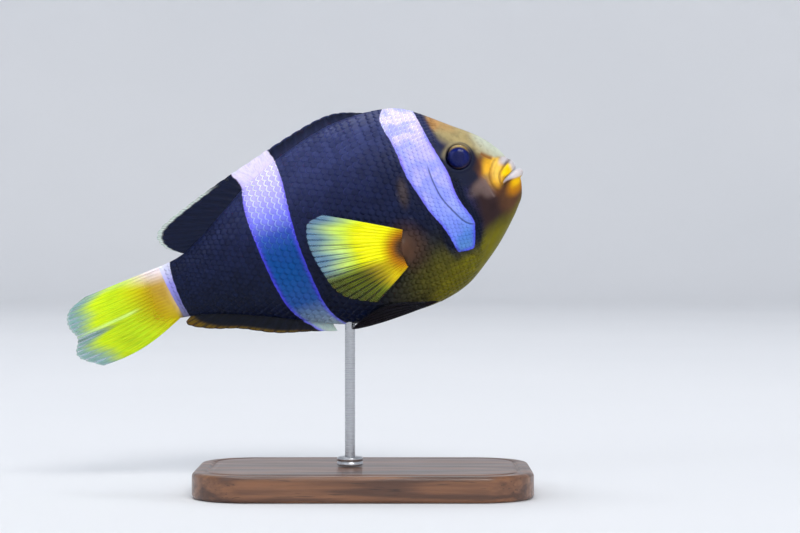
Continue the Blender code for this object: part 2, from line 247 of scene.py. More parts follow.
@dataclass(frozen=True)
class BodyForm:
    """The body's outline and breadth, and the rings that loft it, in millimetres of the side view.

    A ring is a row of seven numbers: its top (s, h), its side (s, h), its bottom (s, h) and its half width.

    Attributes:
        back, belly: (s, h) of the outlines above and below.
        half_width: (s, half the body's width).
        widest_at: (s, height of the widest place).
        mouth: rings from the throat out to the crest of the lips.
        tail_end: the last ring, drawn out thin under the tail fin.
        head_from, head_to: s of the sides of the ring just behind the lips and of the first upright ring.
        keel: power of the sine across; over 1 it draws the back and the belly in to a keel.
    """

    back: Points = (
        (1.5, 4.9), (2.1, 6.2), (3.4, 8.4), (6, 11.7), (10, 15.2), (14, 18.5), (18, 21.7), (22, 24.1),
        (26, 25.2), (32, 25.7), (38, 25.5), (46, 23.9), (54, 21.4), (62, 18), (70, 13.4), (77, 9.5),
        (82, 7.6), (86, 7), (90, 6))
    belly: Points = (
        (0, -0.9), (0.3, -2.2), (1.7, -5.4), (5, -9.2), (10, -13.9), (14, -16.9), (18, -19.5), (22, -21.1),
        (28, -22.1), (36, -22), (44, -21.2), (50, -19.8), (58, -16.3), (66, -12.6), (74, -9.3), (80, -7.3),
        (85, -6.4), (90, -5.6))
    half_width: Points = (
        (5.4, 4.2), (8, 5.7), (12, 7.2), (16, 8.4), (20, 9.3), (26, 9.9), (32, 9.9), (40, 9.3), (50, 7.9),
        (60, 6.1), (70, 4.3), (78, 2.95), (85, 2), (88, 1.2), (90, 0.6))
    widest_at: Points = (
        (5.4, -0.9), (9, 0.6), (14, 1.8), (24, 2.2), (40, 2), (60, 1.6), (76, 0.8), (90, 0.2))
    mouth: tuple[tuple[float, ...], ...] = (
        (7.4, -0.3, 7.6, -0.7, 7.4, -1.1, 0.7),
        (4.6, 1.3, 6, -0.7, 4.4, -1.1, 2.5),
        (2.1, 2.1, 5, -0.85, 1.2, 0.8, 3),
        (1, 1.85, 4.9, -0.85, 0.3, 1.5, 3.3),
        (0.45, 2.7, 4.7, -0.85, -0.75, 0.9, 3.85),
        (0.7, 4.1, 4.8, -0.85, -0.4, -0.1, 4.2))
    tail_end: tuple[float, ...] = (91.6, 4.8, 91.6, 0.1, 91.6, -4.6, 0.12)
    head_from: float = 5.4
    head_to: float = 14.0
    keel: float = 1.18

    def rings(self, top: Array, side: Array, bottom: Array) -> Array:
        """Rings, (n, 7), that meet the outline at s of top and bottom and are widest at s of side."""
        return np.stack((top, through(self.back, top), side, through(self.widest_at, side), bottom,
                         through(self.belly, bottom), through(self.half_width, side)), -1)

    def key_rings(self) -> Array:
        """Lists every ring that shapes the body, from the throat out over the lips and back to the tail.

        The face's rings lean: each goes its share of the way from the lips to the first upright ring.

        Returns:
            (n, 7).
        """
        share = np.linspace(0, 1, 10) ** 1.25
        starts = (self.back[0][0], self.head_from, self.belly[0][0])
        face = self.rings(*(start + (self.head_to - start) * share for start in starts))
        s = np.append(np.linspace(self.head_to, 86, 21)[1:], (88, 90))
        return np.vstack((self.mouth, face, self.rings(s, s, s), self.tail_end))

    def place(self, rings: Array, angle: Array) -> tuple[Array, Array, Array]:
        """Places on rings: half an ellipse above the widest line and half below, drawn in to a soft keel.

        h runs with the cosine of the angle from the top, s with its square and y with the sine to the
        power of the keel.

        Args:
            rings: (n, 7).
            angle: (m,) angles round from the top, in radians.

        Returns:
            s, y and h, each (n, m).
        """
        rise, turn = np.cos(angle)[None, :], np.sin(angle)[None, :]
        above = rise > 0
        end_s = np.where(above, rings[:, 0:1], rings[:, 4:5])
        end_h = np.where(above, rings[:, 1:2], rings[:, 5:6])
        s = rings[:, 2:3] + (end_s - rings[:, 2:3]) * rise**2
        h = rings[:, 3:4] + (end_h - rings[:, 3:4]) * np.abs(rise)
        return s, rings[:, 6:7] * np.sign(turn) * np.abs(turn) ** self.keel, h

    def belly_at(self, s: Array, y: Array) -> Array:
        """Height of the belly's skin: the ellipse below the widest line.

        Args:
            s, y: places along the fish and to one side.

        Returns:
            Heights.
        """
        across = np.clip(y / through(self.half_width, s), 0, 1) ** (1 / self.keel)
        widest = through(self.widest_at, s)
        return widest + (through(self.belly, s) - widest) * np.sqrt(1 - across**2)


# -------- markings


def tint(red: float, green: float, blue: float) -> Colour:
    """Turns a colour's values on a screen into shares of light, by the screen's own curve.

    Args:
        red, green, blue: from 0 to 255.

    Returns:
        Shares of red, green and blue light.
    """
    screen = np.array((red, green, blue)) / 255
    light = np.where(screen <= 0.04045, screen / 12.92, ((screen + 0.055) / 1.055) ** 2.4)
    return tuple(float(v) for v in light)


def ramp(shades: Shades, x: Array) -> Array:
    """Colours straight between shades.

    Args:
        shades: (x, red, green, blue) on a screen, with x rising.
        x: places to read.

    Returns:
        Colours, with a last axis of 3.
    """
    places = [shade[0] for shade in shades]
    light = zip(*(tint(*shade[1:]) for shade in shades))
    return np.stack([np.interp(x, places, row) for row in light], -1)


class Paint(Enum):
    """The fish's colours, as the eye sees them on a screen."""

    NIGHT = tint(8, 18, 44)
    NAVY = tint(32, 40, 82)
    # Painted sheen: the lighter violet of the back, of the tops of the dark rims by the head bar and of the
    # spiny dorsal fin's base.
    BACK_SHEEN = tint(66, 74, 124)
    INK = tint(4, 8, 20)
    TAN = tint(170, 154, 108)
    # Painted rim light: the pale front of the snout along its profile.
    SNOUT_RIM_LIGHT = tint(200, 213, 200)
    NAPE = tint(190, 138, 80)
    FLESH = tint(212, 168, 98)
    EYE_RING = tint(20, 26, 50)
    ORANGE = tint(238, 178, 44)
    MAXILLA = tint(253, 208, 92)
    LEMON = tint(255, 208, 0)
    # Pale lips, and a painted rim light on the front of the upper lip.
    LIP_AND_RIM_LIGHT = tint(214, 208, 214)
    CHIN = tint(190, 122, 12)
    BROWN = tint(92, 60, 38)
    # Painted sheen on the cheek, and a painted highlight along the bone before it.
    UMBER = tint(46, 30, 32)
    CHEEK_SHEEN = tint(118, 98, 94)
    RUST = tint(140, 88, 46)
    OLIVE = tint(112, 106, 10)
    MOSS = tint(62, 60, 28)
    LOBE = tint(76, 54, 42)
    GILL = tint(82, 70, 66)
    MOUTH = tint(92, 40, 40)
    VIOLET = tint(92, 66, 246)
    SEAM = tint(58, 74, 132)
    GOLD = tint(232, 206, 8)
    YELLOW = tint(252, 248, 0)
    GREEN = tint(190, 236, 26)
    MIST = tint(92, 150, 180)
    FROST = tint(70, 130, 182)
    SHADE = tint(58, 60, 22)
    BEAD = tint(206, 220, 214)
    BRONZE = tint(112, 88, 2)
    PEARL = tint(206, 194, 236)
    BRASS = tint(184, 156, 6)
    LIME = tint(220, 252, 150)
    BLUSH = tint(250, 238, 244)
    PUPIL = tint(0, 12, 78)
    IRIS = tint(12, 30, 118)
    IRIS_EDGE = tint(12, 14, 46)


def plain(paint: Paint, s: Array) -> Array:
    """One paint at every place of s, with a last axis of 3."""
    return np.broadcast_to(np.array(paint.value), np.shape(s) + (3,))


def over(under: Array, *coats: tuple[Paint, Array]) -> Array:
    """Lays coats of paint over colours, each as under + (paint - under) * share.

    Args:
        under: the colours, with a last axis of 3.
        coats: (paint, share of cover at each place), from the lowest coat up.

    Returns:
        The colours with every coat on.
    """
    for paint, share in coats:
        under = under + (np.array(paint.value) - under) * np.asarray(share)[..., None]
    return under


@dataclass(frozen=True)
class Wash:
    """A soft oval of colour in the side view.

    Attributes:
        centre, radii: its (s, h), and its half lengths along and across, in millimetres.
        tilt: how far its length is turned from s towards h, in degrees.
        soft: share of the radii over which it fades, each way.
        strength: its cover at the centre.
        behind: the s that it keeps behind.
    """

    paint: Paint
    centre: Point
    radii: Point
    tilt: float = 0.0
    soft: float = 0.35
    strength: float = 1.0
    behind: float = -99.0

    def cover(self, s: Array, h: Array) -> Array:
        """Cover at each place: strength inside, none outside, eased across the oval's edge.

        Args:
            s, h: places in the side view.

        Returns:
            Shares from 0 to strength.
        """
        c, n = math.cos(math.radians(self.tilt)), math.sin(math.radians(self.tilt))
        ds, dh = s - self.centre[0], h - self.centre[1]
        away = np.hypot((ds * c + dh * n) / self.radii[0], (dh * c - ds * n) / self.radii[1])
        inside = 1 - ease(1 - self.soft, 1 + self.soft, away)
        return self.strength * inside * ease(self.behind - 0.4, self.behind + 0.4, s)

    def coat(self, s: Array, h: Array) -> tuple[Paint, Array]:
        """The wash as a coat for over()."""
        return self.paint, self.cover(s, h)


@dataclass(frozen=True)
class Bar:
    """One pale bar: the lines of its front and rear edges, s as a smooth function of h, and its colours.

    Attributes:
        front, rear: (h, s) places of the edges, rising.
        low: the height at which its lower end is rounded off.
        shades: (h, red, green, blue) on a screen, rising; lighter towards the top, partly the bar's own
            colour and partly painted light.
    """

    front: Points
    rear: Points
    low: float
    shades: Shades

    def inside(self, s: Array, h: Array) -> Array:
        """Distance in from the nearest edge, in millimetres, negative outside the bar."""
        ahead, behind = s - through(self.front, h), through(self.rear, h) - s
        return np.minimum(np.minimum(ahead, behind) * 0.95, h - self.low)

    def colours(self, h: Array) -> Array:
        """The bar's colour at each height."""
        return ramp(self.shades, h)


@dataclass(frozen=True)
class Markings:
    """Everything painted on skin, scales and fins alike, as functions of the side view.

    Attributes:
        mid_bar: the bar at the body's middle, blue in its lower half.
        cheek_seam: the dark seam down the head bar, behind the cheek.
        cheek_highlight: a painted highlight along the rim of the bone before the cheek.
        mottled: where the ground is mottled, on the forehead and on the breast.
        muzzle, muzzle_top: the bare, pale top of the snout, and the line that it keeps above.
        washes: the ground's colours, from the lowest up; the back's sheen, the cheek's sheen and the rim
            light on the upper lip are painted light.
        tail_washes: colours over the tail's yellow.
    """

    # Each bar's shades run lighter towards the top: partly its own colour, partly painted light.
    head_bar: Bar = Bar(
        front=((-13, 16), (-11, 14.9), (-9, 14.2), (-7, 13.7), (-3.5, 14.6), (1, 15.7), (5, 15.8), (10, 16.7),
               (17, 18.05), (22, 18.75), (26, 19.3)),
        rear=((-13, 18.9), (-12, 19.4), (-10, 19.9), (-5.5, 21), (-1, 22.9), (3.5, 24.1), (8, 25.3),
              (12, 25.6), (17, 26.1), (21.5, 26.9), (23.5, 26.6), (26, 24.4)),
        low=-12.4,
        shades=((-13, 100, 156, 196), (-9, 94, 148, 222), (-3, 162, 182, 255), (6, 202, 200, 255),
                (12, 212, 204, 255), (18, 240, 226, 255), (24, 250, 238, 255)))
    mid_bar: Bar = Bar(
        front=((-22, 48), (-20, 49), (-18, 50.5), (-15, 51.9), (-9, 52.8), (-3, 53.2), (4, 53.3), (11, 52.9),
               (18, 52.6), (22.5, 53.3), (26, 54.6)),
        rear=((-22, 53), (-18.6, 56.3), (-14.5, 59.5), (-8, 61.5), (0, 62.4), (7, 62.9), (16, 62.7),
              (18.9, 62.5), (21.5, 63.5), (26, 65)),
        low=-30.0,
        shades=((-20, 176, 196, 184), (-16, 122, 150, 164), (-12, 36, 88, 150), (-5, 0, 82, 146),
                (1, 4, 80, 148), (5, 56, 90, 186), (9, 140, 146, 246), (14, 196, 190, 255),
                (20, 228, 218, 255), (25, 238, 230, 252)))
    tail_bar: Bar = Bar(
        front=((-9, 83.2), (-6, 83.6), (-3, 83.9), (3.2, 84.2), (7.2, 84), (9, 83.8)),
        rear=((-9, 84.8), (-5, 85), (-2, 85.5), (2, 86.1), (5, 86.6), (9, 87)),
        low=-30.0,
        shades=((-6, 118, 120, 138), (-2, 132, 132, 186), (2, 164, 160, 228), (6, 236, 238, 244)))
    cheek_seam: Line = Line(((19.8, 9.6), (19.9, 6), (19.2, 1), (17.5, -3), (15.6, -6.2), (13.5, -7.3)))
    # A painted highlight runs along this line.
    cheek_highlight: Line = Line(((8.4, 2), (8.05, -0.2), (7.3, -3.1)))
    mottled: tuple[Wash, ...] = (Wash(Paint.UMBER, (10.4, 13.6), (9, 5), 41, 0.4, 1.0),
                                 Wash(Paint.UMBER, (20, -15), (17, 9), -31, 0.5, 0.5))
    muzzle_top: Line = Line(
        ((10.5, 8.9), (8.4, 8), (6.9, 7.5), (4.9, 5.9), (3.6, 5.6), (2.1, 5.3), (0.6, 4.9)))
    muzzle: Wash = Wash(Paint.TAN, (5.2, 8.2), (7, 3.4), 40, 0.4)
    washes: tuple[Wash, ...] = (
        # Painted sheen: the back, lighter towards its top.
        Wash(Paint.BACK_SHEEN, (38, 20), (30, 8), -8, 0.8, 0.85),
        Wash(Paint.NAVY, (45, 8), (26, 12), 0, 0.8, 0.6),
        Wash(Paint.NAVY, (74, 6), (14, 6), -20, 0.8, 0.3),
        Wash(Paint.GOLD, (97.2, 0), (12.5, 16), 0, 0.03),
        Wash(Paint.FLESH, (86, 2.8), (3.4, 5.2), 0, 0.8, 0.95, 84.8),
        Wash(Paint.OLIVE, (86.4, -5.6), (2.6, 1.6), 0, 0.8, 0.4, 84.8),
        Wash(Paint.MOSS, (27, -17), (10, 8), -15, 0.7, 0.9),
        Wash(Paint.UMBER, (6, -2), (11, 17), 0, 0.35),
        Wash(Paint.NAVY, (15.5, 2), (3.6, 16), 0, 0.5, 0.8),
        Wash(Paint.TAN, (8.6, 13.6), (10.5, 4.4), 41, 0.35),
        Wash(Paint.NAPE, (15.7, 18.4), (1.5, 2), 0, 0.6, 0.9),
        Wash(Paint.NAPE, (13.2, 16.9), (2.6, 1.3), 38, 0.8, 0.5),
        Wash(Paint.EYE_RING, (14.2, 7.2), (4.2, 4.4), 0, 0.35, 0.95),
        Wash(Paint.EYE_RING, (12.4, 3.6), (4.4, 2.2), 0, 0.5, 0.9),
        Wash(Paint.RUST, (6.9, 2.4), (2.1, 4.4), -12, 0.45, 0.9),
        Wash(Paint.BROWN, (3.2, -4.2), (3.2, 4.2), 20, 0.5, 0.9),
        Wash(Paint.ORANGE, (5.6, 3.2), (2.5, 3.9), 10, 0.35),
        Wash(Paint.MAXILLA, (4.9, 3.4), (1.1, 2.9), 14, 0.5, 0.9),
        Wash(Paint.LEMON, (2.6, 2.35), (1.8, 1), -32, 0.3),
        Wash(Paint.CHIN, (1.6, -1.6), (2.7, 1.5), -38, 0.6),
        Wash(Paint.LEMON, (0.9, -0.5), (2, 0.9), -36, 0.6, 0.7),
        # Painted sheen: a pale patch on the cheek.
        Wash(Paint.CHEEK_SHEEN, (9.6, 0.7), (2.9, 1.3), -28, 0.7, 0.8),
        Wash(Paint.CHEEK_SHEEN, (8.4, -0.9), (1.5, 1.4), -60, 0.7, 0.75),
        # Painted rim light on the front of the upper lip.
        Wash(Paint.LIP_AND_RIM_LIGHT, (2.3, 5), (1.7, 0.9), -30, 0.6, 0.8),
        Wash(Paint.OLIVE, (16, -18), (17, 5.4), -31, 0.3),
        Wash(Paint.OLIVE, (4.2, -8.6), (5.2, 0.9), -48, 0.8, 0.7),
        Wash(Paint.UMBER, (9.6, 6.4), (1.2, 2.6), -18, 0.5, 0.8),
        Wash(Paint.OLIVE, (24, -15.5), (6, 4), -20, 0.8, 0.5),
        Wash(Paint.LOBE, (30, -7.4), (4, 5), -8, 0.6, 0.9),
        Wash(Paint.GILL, (27.2, 4.8), (1.1, 3.2), 8, 0.6, 0.7))
    tail_washes: tuple[Wash, ...] = (
        Wash(Paint.FLESH, (86.9, 2.8), (3.6, 5.8), -14, 0.8, 0.95, 84.8),
        Wash(Paint.BRASS, (92.4, -3.4), (7, 8), 14, 0.9, 0.95, 85.2),
        Wash(Paint.CHIN, (91.8, 0.4), (3.6, 3.8), 10, 0.9, 0.15, 85.2),
        Wash(Paint.PEARL, (85.2, 0), (0.9, 9), -6, 1.0, 0.2, 84.8),
        Wash(Paint.BLUSH, (87.4, 7.6), (8.6, 2.9), 4, 0.8, 1.0, 84.8))

    def bars(self) -> tuple[Bar, Bar, Bar]:
        """The three bars, from the head back."""
        return self.head_bar, self.mid_bar, self.tail_bar

    def ground(self, s: Array, h: Array) -> Array:
        """The colours between the bars: night, then each wash over the last, then the dark rims of the bars.

        Args:
            s, h: places in the side view.

        Returns:
            Colours, with a last axis of 3.
        """
        colours = over(plain(Paint.NIGHT, s), *(wash.coat(s, h) for wash in self.washes))
        colours = over(colours, (Paint.YELLOW, ease(88.0, 94.0, s + 0.4 * np.abs(h - 2))),
                       *(wash.coat(s, h) for wash in self.tail_washes))
        _, above, _ = self.muzzle_top.near(s, h)
        bare = ease(-0.15, 0.55, above) * (1 - ease(6.5, 9.5, s)) * (h > 3.4) * self.muzzle.cover(s, h)
        rim = (1 - ease(1.1, 2.3, -self.head_bar.inside(s, h))) * ease(-16, -10, h) * (s < 22)
        return over(colours, (Paint.TAN, bare),
                    # Painted rim light on the front of the bare snout.
                    (Paint.SNOUT_RIM_LIGHT, bare * (1 - ease(-3.0, 3.4, s - 0.7 * h)) * 0.8),
                    # Painted sheen on the dark rims ahead of the head bar, lighter towards the top.
                    (Paint.NIGHT, rim), (Paint.BACK_SHEEN, 0.5 * rim * ease(8, 18, h)),
                    # Painted highlight along the bone before the cheek.
                    (Paint.CHEEK_SHEEN, self.cheek_highlight.groove(s, h, 0.32) * 0.8))

    def mottle(self, s: Array, h: Array) -> Array:
        """How strongly the forehead and the breast are mottled."""
        return sum(wash.cover(s, h) for wash in self.mottled)

    def in_bar(self, s: Array, h: Array) -> Array:
        """Distance inside the nearest bar, in millimetres, negative between bars."""
        return np.maximum.reduce([bar.inside(s, h) for bar in self.bars()])

    def bar_colours(self, s: Array, h: Array) -> Array:
        """The bars' own colours: their shades by height, with violet along their edges.

        Args:
            s, h: places in the side view.

        Returns:
            Colours, with a last axis of 3.
        """
        head, mid, tail = (bar.colours(h) for bar in self.bars())
        colours = head + (mid - head) * ease(38, 40, s)[..., None]
        colours = colours + (tail - colours) * ease(72, 74, s)[..., None]
        edge = hump(self.in_bar(s, h), 0.0, 0.6) * (1 - ease(14, 22, h)) * (s < 72)
        return over(colours, (Paint.VIOLET, 0.7 * edge))

    def fields(self, s: Array, h: Array) -> dict[str, Array]:
        """What the skin's finish reads: the colours, the bars, the mottling and the cheek's seam.

        Args:
            s, h: places in the side view.

        Returns:
            Numbers and colours at each place, by the name of the field.
        """
        gap, side, share = self.cheek_seam.near(s, h)
        drawn = ease(0, 0.15, share) * ease(0, 0.08, 1 - share) * (gap < 2)
        return {"ground": self.ground(s, h), "bar": self.in_bar(s, h), "bar_shade": self.bar_colours(s, h),
                "mottle": np.maximum(self.mottle(s, h), ease(-1, 0.5, self.head_bar.inside(s, h))),
                "seam": side, "seam_drawn": drawn}


# -------- meshes


def meshed(name: str, places: Array, faces: list[Array]) -> bpy.types.Mesh:
    """Makes a smooth mesh.

    Args:
        name: its name.
        places: (n, 3) in the frame, in metres.
        faces: arrays of corner indices, (f, 3) or (f, 4).

    Returns:
        The mesh.
    """
    mesh = bpy.data.meshes.new(name)
    mesh.from_pydata(places.tolist(), [], [face for part in faces for face in part.tolist()])
    mesh.shade_smooth()
    return mesh


def linked(name: str, data: bpy.types.ID) -> Piece:
    """Makes an object in the scene.

    Args:
        name: its name.
        data: its mesh, lamp or camera.

    Returns:
        The object.
    """
    piece = bpy.data.objects.new(name, data)
    bpy.context.scene.collection.objects.link(piece)
    return piece


@dataclass
class Shell:
    """A mesh in the making: places, faces, the bake's map and the fields that its finish reads.

    Attributes:
        places: (n, 3) in the frame, in metres.
        faces: arrays of corner indices, (f, 3) or (f, 4).
        maps: the corners' places on the map, in the same order.
        fields: numbers or colours at each place, by name.
    """

    places: Array
    faces: list[Array]
    maps: list[Array]
    fields: dict[str, Array]

    def build(self, name: str, material: Material, nodes: tuple[str, ...],
              slot: str) -> Piece:
        """Makes the piece, rides it on the body and reports it.

        Args:
            name, material: the piece's name and finish.
            nodes: the solids that it stands for.
            slot: the name of a material slot; not used.

        Returns:
            The object.
        """
        mesh = meshed(name, self.places, self.faces)
        laid = mesh.uv_layers.new(name="OFBake")
        laid.uv.foreach_set("vector", np.concatenate([part.ravel() for part in self.maps]).astype(np.float32))
        for key, values in self.fields.items():
            if values.ndim == 2:
                kept = mesh.attributes.new(key, "FLOAT_COLOR", "POINT")
                kept.data.foreach_set("color", np.insert(values, 3, 1.0, axis=1).astype(np.float32).ravel())
            else:
                kept = mesh.attributes.new(key, "FLOAT", "POINT")
                kept.data.foreach_set("value", values.astype(np.float32))
        mesh.materials.append(material)
        piece = linked(name, mesh)
        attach(piece, "root")
        if nodes:
            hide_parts(*nodes)
        LOG.info("%s: %d triangles", name, sum(len(part) * (part.shape[1] - 2) for part in self.faces))
        return piece


def net(rows: int, columns: int, around: bool) -> tuple[Array, Array]:
    """Faces of a grid of places, row after row, with their places on a map of the grid.

    Args:
        rows: rows of places.
        columns: places in a row.
        around: True if each row closes on itself.

    Returns:
        Corner indices (f, 4) and map places (f, 4, 2).
    """
    spans = columns if around else columns - 1
    i, j = np.meshgrid(np.arange(rows - 1), np.arange(spans), indexing="ij")
    i, j = i.ravel(), j.ravel()
    after = (j + 1) % columns
    row, below = i * columns, (i + 1) * columns
    faces = np.stack((row + j, row + after, below + after, below + j), -1)
    u = np.stack((i, i, i + 1, i + 1), -1) / (rows - 1)
    v = np.stack((j, j + 1, j + 1, j), -1) / spans
    return faces, np.stack((u, v), -1)


def cap(first: int, columns: int, pole: int, reverse: bool, u: float) -> tuple[Array, Array]:
    """A fan of faces from a closed row of places to a pole.

    Args:
        first, columns: index of the row's first place, and its places.
        pole, u: index of the pole, and its place along the map.
        reverse: True to turn the faces round.

    Returns:
        Corner indices (f, 3) and map places (f, 3, 2).
    """
    j = np.arange(columns)
    a, b = (j + 1, j) if reverse else (j, j + 1)
    faces = np.stack((first + a % columns, first + b % columns, np.full(columns, pole)), -1)
    v = np.stack((a, b, j + 0.5), -1) / columns
    edge = abs(u - 0.004)
    return faces, np.stack((np.broadcast_to((edge, edge, u), v.shape), v), -1)


def closed(places: Array, fields: dict[str, Array]) -> Shell:
    """Rings of places as a shell, closed at both ends by poles that take their ring's mean place and fields.

    Args:
        places: (rings, places round, 3) in the frame.
        fields: numbers or colours at the same places, by name.

    Returns:
        The shell.
    """
    rows, columns = places.shape[:2]
    faces, maps = net(rows, columns, True)
    start = cap(0, columns, rows * columns, True, 0.0)
    end = cap((rows - 1) * columns, columns, rows * columns + 1, False, 1.0)
    laid = {key: np.concatenate((listed(values), values[[0, -1]].mean(1)))
            for key, values in {"places": places, **fields}.items()}
    return Shell(laid.pop("places"), [faces, start[0], end[0]], [maps, start[1], end[1]], laid)


def normals(places: Array, around: bool) -> Array:
    """Unit normals of a grid of places: the cross product of its steps along the rows and across them.

    Args:
        places: (rows, columns, 3).
        around: True if each row closes on itself.

    Returns:
        (rows, columns, 3).
    """
    down = np.gradient(places, axis=0)
    if around:
        across = (np.roll(places, -1, 1) - np.roll(places, 1, 1)) / 2
    else:
        across = np.gradient(places, axis=1)
    out = np.cross(across, down)
    return out / np.maximum(np.linalg.norm(out, axis=-1, keepdims=True), 1e-12)


# -------- finishes


class Nodes:
    """Short words for laying out one material's nodes."""

    def __init__(self, name: str) -> None:
        """Makes a material with a Principled BSDF.

        Args:
            name: the material's name.
        """
        self.material = bpy.data.materials.new(name)
        self.material.use_nodes = True
        self.tree = self.material.node_tree
        self.shader = self.tree.nodes["Principled BSDF"]

    def add(self, kind: str, **settings: object) -> bpy.types.Node:
        """Adds a node.

        Args:
            kind: its type.
            settings: its settings, by name.

        Returns:
            The node.
        """
        node = self.tree.nodes.new(kind)
        for key, value in settings.items():
            setattr(node, key, value)
        return node

    def join(self, source: object, target: Socket) -> None:
        """Links a socket to the target, or sets the target to a number or colour.

        Args:
            source: a socket, a number or a colour.
            target: the socket that takes it.
        """
        if isinstance(source, Socket):
            self.tree.links.new(source, target)
        else:
            target.default_value = source

    def number(self, name: str) -> Socket:
        """The piece's field of this name, as a number."""
        return self.add("ShaderNodeAttribute", attribute_name=name).outputs["Fac"]

    def colour(self, name: str) -> Socket:
        """The piece's field of this name, as a colour."""
        return self.add("ShaderNodeAttribute", attribute_name=name).outputs["Color"]

    def noise(self, scale: float, detail: float, stretch: tuple[float, ...] = (1, 1, 1)) -> Socket:
        """Noise on object coordinates.

        Args:
            scale: features in a metre.
            detail: octaves.
            stretch: the scale's share along each axis.

        Returns:
            The noise, from 0 to 1.
        """
        spot = self.add("ShaderNodeTexCoord").outputs["Object"]
        mapping = self.add("ShaderNodeMapping")
        mapping.inputs["Scale"].default_value = stretch
        self.join(spot, mapping.inputs["Vector"])
        node = self.add("ShaderNodeTexNoise")
        node.inputs["Scale"].default_value = scale
        node.inputs["Detail"].default_value = detail
        self.join(mapping.outputs["Vector"], node.inputs["Vector"])
        return node.outputs["Fac"]

    def maths(self, operation: str, a: object, b: object = 0.0) -> Socket:
        """Reckons with sockets or numbers.

        Args:
            operation: the Math node's operation.
            a, b: sockets or numbers; a sine reads only a.

        Returns:
            The result.
        """
        node = self.add("ShaderNodeMath", operation=operation)
        self.join(a, node.inputs[0])
        self.join(b, node.inputs[1])
        return node.outputs[0]

    def times(self, a: object, b: object) -> Socket:
        """The product of two sockets or numbers."""
        return self.maths("MULTIPLY", a, b)

    def share(self, value: object, low: float, high: float, to_low: float = 0.0,
              to_high: float = 1.0) -> Socket:
        """Eases a value from one range to another.

        Args:
            value: a socket.
            low, high: the range that it comes from.
            to_low, to_high: the results at its ends and past them.

        Returns:
            The result.
        """
        node = self.add("ShaderNodeMapRange", interpolation_type="SMOOTHSTEP")
        for key, given in (("Value", value), ("From Min", low), ("From Max", high), ("To Min", to_low),
                           ("To Max", to_high)):
            self.join(given, node.inputs[key])
        return node.outputs[0]

    def spread(self, noise: object, low: float, high: float) -> Socket:
        """A noise's middle values, 0.3 to 0.7, spread from low to high."""
        return self.share(noise, 0.3, 0.7, low, high)

    def blend(self, share: object, a: object, b: object, way: str = "MIX") -> Socket:
        """Lays one colour over another.

        Args:
            share: the cover, as a socket or a number.
            a, b: the colours below and above, as sockets or colours.
            way: how the node mixes them.

        Returns:
            The colour.
        """
        node = self.add("ShaderNodeMix", data_type="RGBA", blend_type=way)
        for key, given in (("Factor_Float", share), ("A_Color", a), ("B_Color", b)):
            target = next(socket for socket in node.inputs if socket.identifier == key)
            self.join(given if isinstance(given, (Socket, float, int)) else (*given, 1), target)
        return next(socket for socket in node.outputs if socket.identifier == "Result_Color")

    def scaled(self, colour: object, share: object, low: Colour, high: Colour) -> Socket:
        """A colour times one that runs from low to high with the share."""
        return self.blend(1.0, colour, self.blend(share, low, high), "MULTIPLY")

    def bump(self, height: object, depth: float, under: object = None) -> Socket:
        """Turns a height into a normal.

        Args:
            height: a socket, from 0 to 1.
            depth: what 1 stands for, in metres.
            under: the normal that it is added to.

        Returns:
            The normal.
        """
        node = self.add("ShaderNodeBump")
        node.inputs["Strength"].default_value = 1.0
        node.inputs["Distance"].default_value = depth
        self.join(height, node.inputs["Height"])
        if under is not None:
            self.join(under, node.inputs["Normal"])
        return node.outputs["Normal"]

    def finish(self, **sockets: object) -> Material:
        """Finishes the material.

        Args:
            sockets: what each of the shader's sockets takes, by its name with _ for a space.

        Returns:
            The material.
        """
        for key, value in sockets.items():
            self.join(value, self.shader.inputs[key.replace("_", " ")])
        return self.material


